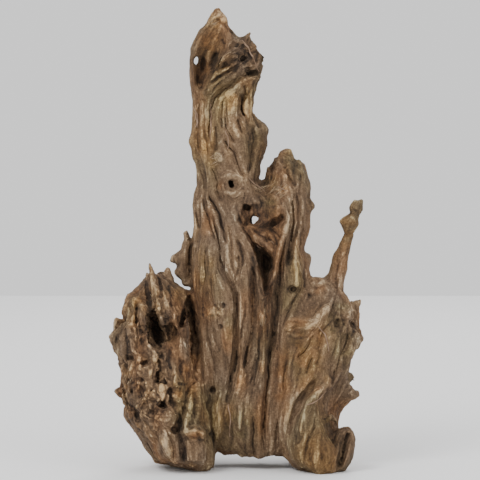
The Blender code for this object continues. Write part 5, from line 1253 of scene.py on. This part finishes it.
palette = {
    # from the darkest tone to the palest, as (tone, colour)
    "stops": [(0.02, (0.026, 0.017, 0.011)), (0.26, (0.068, 0.041, 0.024)), (0.50, (0.118, 0.072, 0.040)),
              (0.74, (0.190, 0.123, 0.071)), (0.98, (0.405, 0.300, 0.185))],
    # what a full stain multiplies the colour with
    "rust": (1.16, 0.93, 0.72),
    "straw": (1.36, 1.22, 0.95),
    "ash": (0.92, 0.97, 1.06),
    "olive": (0.90, 0.98, 0.84),
    "roughness": 0.85,
    "specular": 0.25,
    "grainNoise": (420, 4, 0.62),    # scale across the fibres, detail and roughness
    "grainLength": 7,
    "grainTone": 0.40,
    "speckNoise": (620, 3, 0.7),     # of the even, speckled mottle
    "speckTone": 0.42,
    "lineWidth": 0.045,      # how far the noise may be from its middle in a dark line of the grain
    "lineTone": 0.11,
    "lineLift": 0.3,         # share of it by which the wood between the lines is paler
    "grainHeight": 0.5,      # millimetres
    "lineDepth": 0.5,        # depth of the dark lines and height of the specks against the grain's height
    "speckHeight": 0.6,
}


def newMaterial(name, roughness, specular):
    material = bpy.data.materials.new(name)
    material.use_nodes = True
    shader = material.node_tree.nodes["Principled BSDF"]
    shader.inputs["Roughness"].default_value = roughness
    shader.inputs["Specular IOR Level"].default_value = specular
    return material, shader


def addNoise(tree, place, scale, detail, roughness):
    noise = tree.nodes.new("ShaderNodeTexNoise")
    noise.inputs["Scale"].default_value = scale
    noise.inputs["Detail"].default_value = detail
    noise.inputs["Roughness"].default_value = roughness
    tree.links.new(place, noise.inputs["Vector"])
    return noise.outputs["Fac"]


def addRamp(tree, value, stops):
    # Colour for a value between the stops, which are (position, colour) from the lowest to the highest
    ramp = tree.nodes.new("ShaderNodeValToRGB")
    marks = ramp.color_ramp.elements
    for mark, (position, colour) in zip(marks, (stops[0], stops[-1])):
        mark.position, mark.color = position, (*colour, 1)
    for position, colour in stops[1:-1]:
        marks.new(position).color = (*colour, 1)
    tree.links.new(value, ramp.inputs["Fac"])
    return ramp.outputs["Color"]


def addBump(tree, shader, height, distance):
    bump = tree.nodes.new("ShaderNodeBump")
    bump.inputs["Strength"].default_value = 1.0
    bump.inputs["Distance"].default_value = distance
    tree.links.new(height, bump.inputs["Height"])
    tree.links.new(bump.outputs["Normal"], shader.inputs["Normal"])


def woodMaterial():
    material, shader = newMaterial("weatheredWood", palette["roughness"], palette["specular"])
    tree = material.node_tree
    nodes, links = tree.nodes, tree.links

    def worked(operation, first, second, third=None):
        step = nodes.new("ShaderNodeMath")
        step.operation = operation
        for socket, value in zip(step.inputs, (first, second, third)):
            if hasattr(value, "links"):
                links.new(value, socket)
            elif value is not None:
                socket.default_value = value
        return step.outputs["Value"]

    def layerOf(name):
        # The piece's own attribute and its red, green and blue
        layer = nodes.new("ShaderNodeAttribute")
        layer.attribute_name = name
        split = nodes.new("ShaderNodeSeparateColor")
        links.new(layer.outputs["Color"], split.inputs["Color"])
        return layer, split.outputs

    # Fine grain: one noise drawn out in each of the six directions, mixed by the shares
    place = nodes.new("ShaderNodeTexCoord").outputs["Object"]
    grainSum = 0.0
    for name, some in grainLayers.items():
        for share, angle in zip(layerOf(name)[1], some):
            turn = nodes.new("ShaderNodeMapping")
            turn.vector_type = "TEXTURE"
            turn.inputs["Rotation"].default_value = (0, angle, 0)
            turn.inputs["Scale"].default_value = (1, 1, palette["grainLength"])
            links.new(place, turn.inputs["Vector"])
            fine = addNoise(tree, turn.outputs["Vector"], *palette["grainNoise"])
            grainSum = worked("MULTIPLY_ADD", fine, share, grainSum)

    # Tone: the vertex's own, which carries painted shade and highlights, with the grain, its dark lines and
    # the specks
    tone = nodes.new("ShaderNodeAttribute")
    tone.attribute_name = "tone"
    shift = worked("MULTIPLY_ADD", grainSum, palette["grainTone"] * 2, -palette["grainTone"])
    fromMiddle = worked("ABSOLUTE", worked("SUBTRACT", grainSum, 0.5), 0.0)
    line = worked("SUBTRACT", 1.0, worked("DIVIDE", fromMiddle, palette["lineWidth"]))
    line = worked("MAXIMUM", line, 0.0)
    both = worked("ADD", tone.outputs["Fac"], shift)
    both = worked("MULTIPLY_ADD", line, -palette["lineTone"], both)
    both = worked("ADD", both, palette["lineLift"] * palette["lineTone"])
    speck = addNoise(tree, place, *palette["speckNoise"])
    both = worked("MULTIPLY_ADD", worked("SUBTRACT", speck, 0.5), 2 * palette["speckTone"], both)

    colour = addRamp(tree, both, palette["stops"])
    stainLayer, stainShares = layerOf("stains")
    for name, share in zip(stainNames, [*stainShares, stainLayer.outputs["Alpha"]]):
        mix = nodes.new("ShaderNodeMix")
        mix.data_type = "RGBA"
        mix.blend_type = "MULTIPLY"
        mix.clamp_factor = True
        links.new(share, mix.inputs["Factor"])
        links.new(colour, mix.inputs["A"])
        mix.inputs["B"].default_value = (*palette[name], 1)
        colour = mix.outputs["Result"]
    links.new(colour, shader.inputs["Base Color"])

    lowered = worked("SUBTRACT", grainSum, worked("MULTIPLY", line, palette["lineDepth"]))
    height = worked("MULTIPLY_ADD", speck, palette["speckHeight"], lowered)
    addBump(tree, shader, height, palette["grainHeight"] * mm)
    return material


wood.data.materials.append(woodMaterial())
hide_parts("driftwood_root")
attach(wood, "root")


# Rootlets and loose fibres that cling to the wood

rootlets = {
    "paths": [     # (half thickness, [(x, height, lift), ...])
        (0.60, [(5, 372, 0.5), (10, 366, 1.2), (14, 359, 1.0), (16, 353, 0.6), (19, 347, 0.4),
                (21, 344, 0.2)]),
        (0.50, [(8, 370, 0.4), (12, 363, 0.8), (15.5, 355, 0.5), (20, 349, 0.3)]),
        (0.60, [(-36, 318, 0.4), (-33.5, 310, 0.9), (-32, 303, 0.6), (-33, 296, 0.2)]),
        (0.50, [(-33.6, 311, 0.3), (-33.4, 303, 0.8), (-34, 296, 0.3)]),
        (0.55, [(-21, 318, 0.3), (-20, 306, 0.6), (-20.6, 294, 0.5), (-22, 284, 0.2)]),
        (0.50, [(-10, 297, 0.2), (-7, 290, 0.5), (-6, 284, 0.4), (-7, 277, 0.2)]),
        (0.60, [(18, 197, 0.3), (20, 195.6, 1.2), (23, 194, 0.4)]),
        (0.50, [(30, 200, 0.3), (32, 198, 0.9), (33.4, 196.6, 0.3)]),
        (0.55, [(11, 255, 0.3), (16, 249, 0.9), (21, 245.4, 0.9), (26, 242, 0.3)]),
        (0.50, [(36, 247, 0.3), (40, 244.4, 0.8), (45, 243, 0.3)]),
        (0.60, [(-40, 112, 0.3), (-38, 104, 0.7), (-39, 95, 0.5), (-42, 88, 0.2)]),
        (0.55, [(70, 127, 0.2), (76, 121, 0.7), (79, 112, 0.5), (79, 104, 0.2)]),
        (0.55, [(60, 60, 0.2), (66, 62, 0.7), (73, 67, 0.6), (78, 73, 0.2)]),
        (0.50, [(-6, 60, 0.2), (-4, 50, 0.6), (-5, 40, 0.5), (-4, 30, 0.2)]),
    ],
    "step": 1.6,             # from one spot of a path to the next
    "bend": 0.5,             # how far it swings between the listed places, and how fast
    "bendTurn": 3.1,
    "mostJump": 6,           # a spot farther than this from the last one lies on other wood
    "colours": ((0.14, 0.085, 0.05), (0.30, 0.20, 0.135)),
}

tufts = {
    "places": [    # (x, height, half width, half height, number, length, lean in degrees)
        (-15, 270, 4, 5, 22, 7, 60), (-19, 389, 4, 4, 26, 7, 62), (20, 245.5, 5, 3, 24, 9, 65),
        (37, 243, 7, 6, 26, 8, 50), (-17, 139, 5, 4, 34, 6, 55),
        (47, 219, 1.5, 9, 14, 9, 5), (53, 184, 2.5, 13, 14, 10, -3), (23, 138, 3, 10, 16, 8, 8),
        (-70, 162, 1.6, 13, 16, 10, -10), (12, 316, 2, 11, 14, 10, -4), (-92, 82, 3, 6, 10, 4, 20),
        (-15, 48, 2, 11, 12, 9, 2),
    ],
    "halfThick": 0.15,
    "lift": 0.6,             # of the ends above the wood, over the least lift
    "leastLift": 0.1,
    "liftShares": (0.2, 1),
    "thickShares": (0.7, 1.3),
    "lengthShares": (0.5, 1.2),
    "curl": 0.2,             # radians that a fibre turns along its length, at most
    "spots": 6,              # along each fibre
    "leanSpread": 10,        # degrees
    "mostJump": 3.5,         # a fibre with a longer step than this is left out
    "colours": ((0.15, 0.095, 0.05), (0.42, 0.31, 0.19)),
    "seed": 12,
}

strands = {
    "tip": 0.35,             # thickness of a tip against the middle
    "thickFrom": 0.15,       # part of the whole swelling that a strand starts with, and goes through
    "thickOver": 0.75,
    "roughness": 0.8,
    "specular": 0.25,
    "mottleNoise": (160, 3, 0.5),
    "mottleAt": (0.36, 0.64),
    "bump": 0.2,             # millimetres
}


def addStrand(curve, spots, halfThick):
    # One thin tapering strand through the spots
    line = curve.splines.new("POLY")
    line.points.add(len(spots) - 1)
    for k, (point, spot) in enumerate(zip(line.points, spots)):
        point.co = (*spot, 1)
        t = k / (len(spots) - 1)
        bulge = math.sin(math.pi * min(strands["thickFrom"] + strands["thickOver"] * t, 1))
        point.radius = halfThick * (strands["tip"] + (1 - strands["tip"]) * bulge)


def strandCurve(name):
    curve = bpy.data.curves.new(name, "CURVE")
    curve.dimensions = "3D"
    curve.bevel_depth = mm
    curve.bevel_resolution = 1
    curve.use_fill_caps = True
    return placed(name, curve)


def makeRootlets(tree):
    obj = strandCurve("rootlets")
    for halfThick, path in rootlets["paths"]:
        spots = []
        for a, b in zip(path[:-1], path[1:]):
            steps = max(2, round(math.hypot(b[0] - a[0], b[1] - a[1]) / rootlets["step"]))
            for k in range(steps):
                t = k / steps
                x, height, lift = (a[i] + t * (b[i] - a[i]) for i in range(3))
                bend = rootlets["bend"] * math.sin(rootlets["bendTurn"] * t + a[1])
                spot = onWood(tree, x + bend, height, lift)
                if spot and (not spots or (spot - spots[-1]).length < rootlets["mostJump"] * mm):
                    spots.append(spot)
        eased = [(a + b * 2 + c) / 4 for a, b, c in zip(spots, spots[1:], spots[2:])]
        addStrand(obj.data, [spots[0]] + eased + [spots[-1]], halfThick)
    return obj


def makeTufts(tree):
    obj = strandCurve("fibre_tufts")
    draw = random.Random(tufts["seed"])
    for x, height, halfWide, halfTall, number, length, lean in tufts["places"]:
        for _ in range(number):
            px, pz = x + halfWide * draw.uniform(-1, 1), height + halfTall * draw.uniform(-1, 1)
            turn = math.radians(lean + draw.gauss(0, tufts["leanSpread"]))
            long = length * draw.uniform(*tufts["lengthShares"])
            curl = draw.uniform(-tufts["curl"], tufts["curl"])
            spots = []
            for k in range(tufts["spots"]):
                t = k / (tufts["spots"] - 1) - 0.5
                qx = px + long * t * math.sin(turn + curl * t)
                qz = pz + long * t * math.cos(turn + curl * t)
                lift = tufts["lift"] * (2 * t) ** 2 * draw.uniform(*tufts["liftShares"])
                spots.append(onWood(tree, qx, qz, lift + tufts["leastLift"]))
            if all(spots) and max((a - b).length for a, b in zip(spots, spots[1:])) < tufts["mostJump"] * mm:
                addStrand(obj.data, spots, tufts["halfThick"] * draw.uniform(*tufts["thickShares"]))
    return obj


def strandMaterial(name, colours):
    material, shader = newMaterial(name, strands["roughness"], strands["specular"])
    tree = material.node_tree
    place = tree.nodes.new("ShaderNodeTexCoord").outputs["Object"]
    mottle = addNoise(tree, place, *strands["mottleNoise"])
    colour = addRamp(tree, mottle, list(zip(strands["mottleAt"], colours)))
    tree.links.new(colour, shader.inputs["Base Color"])
    addBump(tree, shader, mottle, strands["bump"] * mm)
    return material


finished = treeOf(wood)
for strand, finish in ((makeRootlets(finished), strandMaterial("rootletSkin", rootlets["colours"])),
                       (makeTufts(finished), strandMaterial("looseFibre", tufts["colours"]))):
    strand.data.materials.append(finish)
    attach(strand, "root")
report("rootlets and fibres")


# Studio

studio = {
    "floor": 3.0,            # metres across
    "floorColour": (0.86, 0.86, 0.86, 1),
    "floorRoughness": 0.9,
    "floorSpecular": 0.5,
    "lens": 346.9,           # a long lens from far off, as the photograph hardly converges
    "distance": 4.0,         # metres from the camera to the root
    "aimX": 0.00315,
    "aimHeight": 0.1980,
    # name: (place, aim, size, watts)
    "lamps": {"key": ((-0.9, -1.3, 1.5), (0, 0, 0.2), 0.9, 26),
              "fill": ((1.2, -1.2, 0.8), (0, 0, 0.2), 1.2, 9),
              "rim": ((0.3, 1.3, 1.3), (0, 0, 0.25), 0.8, 10)},
    "skyColour": (1, 1, 1, 1),
    "skyLight": 1.05,
}


def makeFloor():
    bm = bmesh.new()
    bmesh.ops.create_grid(bm, x_segments=1, y_segments=1, size=studio["floor"] / 2)
    mesh = bpy.data.meshes.new("studio_floor")
    bm.to_mesh(mesh)
    bm.free()
    floor = placed("studio_floor", mesh)
    pale, shader = newMaterial("paleFloor", studio["floorRoughness"], studio["floorSpecular"])
    shader.inputs["Base Color"].default_value = studio["floorColour"]
    mesh.materials.append(pale)


def makeLamp(name, place, aim, size, watts):
    lamp = bpy.data.lights.new(name, "AREA")
    lamp.shape = "DISK"
    lamp.size = size
    lamp.energy = watts
    obj = placed(name, lamp)
    obj.location = place
    obj.rotation_euler = (Vector(aim) - Vector(place)).to_track_quat("-Z", "Y").to_euler()


def makeSky():
    world = bpy.data.worlds.new("studio")
    world.use_nodes = True
    sky = world.node_tree.nodes["Background"]
    sky.inputs["Color"].default_value = studio["skyColour"]
    sky.inputs["Strength"].default_value = studio["skyLight"]
    bpy.context.scene.world = world


def makeCamera():
    lens = bpy.data.cameras.new("camera")
    lens.lens = studio["lens"]
    camera = placed("camera", lens)
    down = math.radians(sight["lookDown"])
    aim = Vector((studio["aimX"], 0, studio["aimHeight"]))
    away = Vector((0, -math.cos(down), math.sin(down)))
    camera.location = aim + away * studio["distance"]
    camera.rotation_euler = (-away).to_track_quat("-Z", "Y").to_euler()
    bpy.context.scene.camera = camera


makeFloor()
for name, lamp in studio["lamps"].items():
    makeLamp(name, *lamp)
makeSky()
makeCamera()

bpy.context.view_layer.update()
report("done")
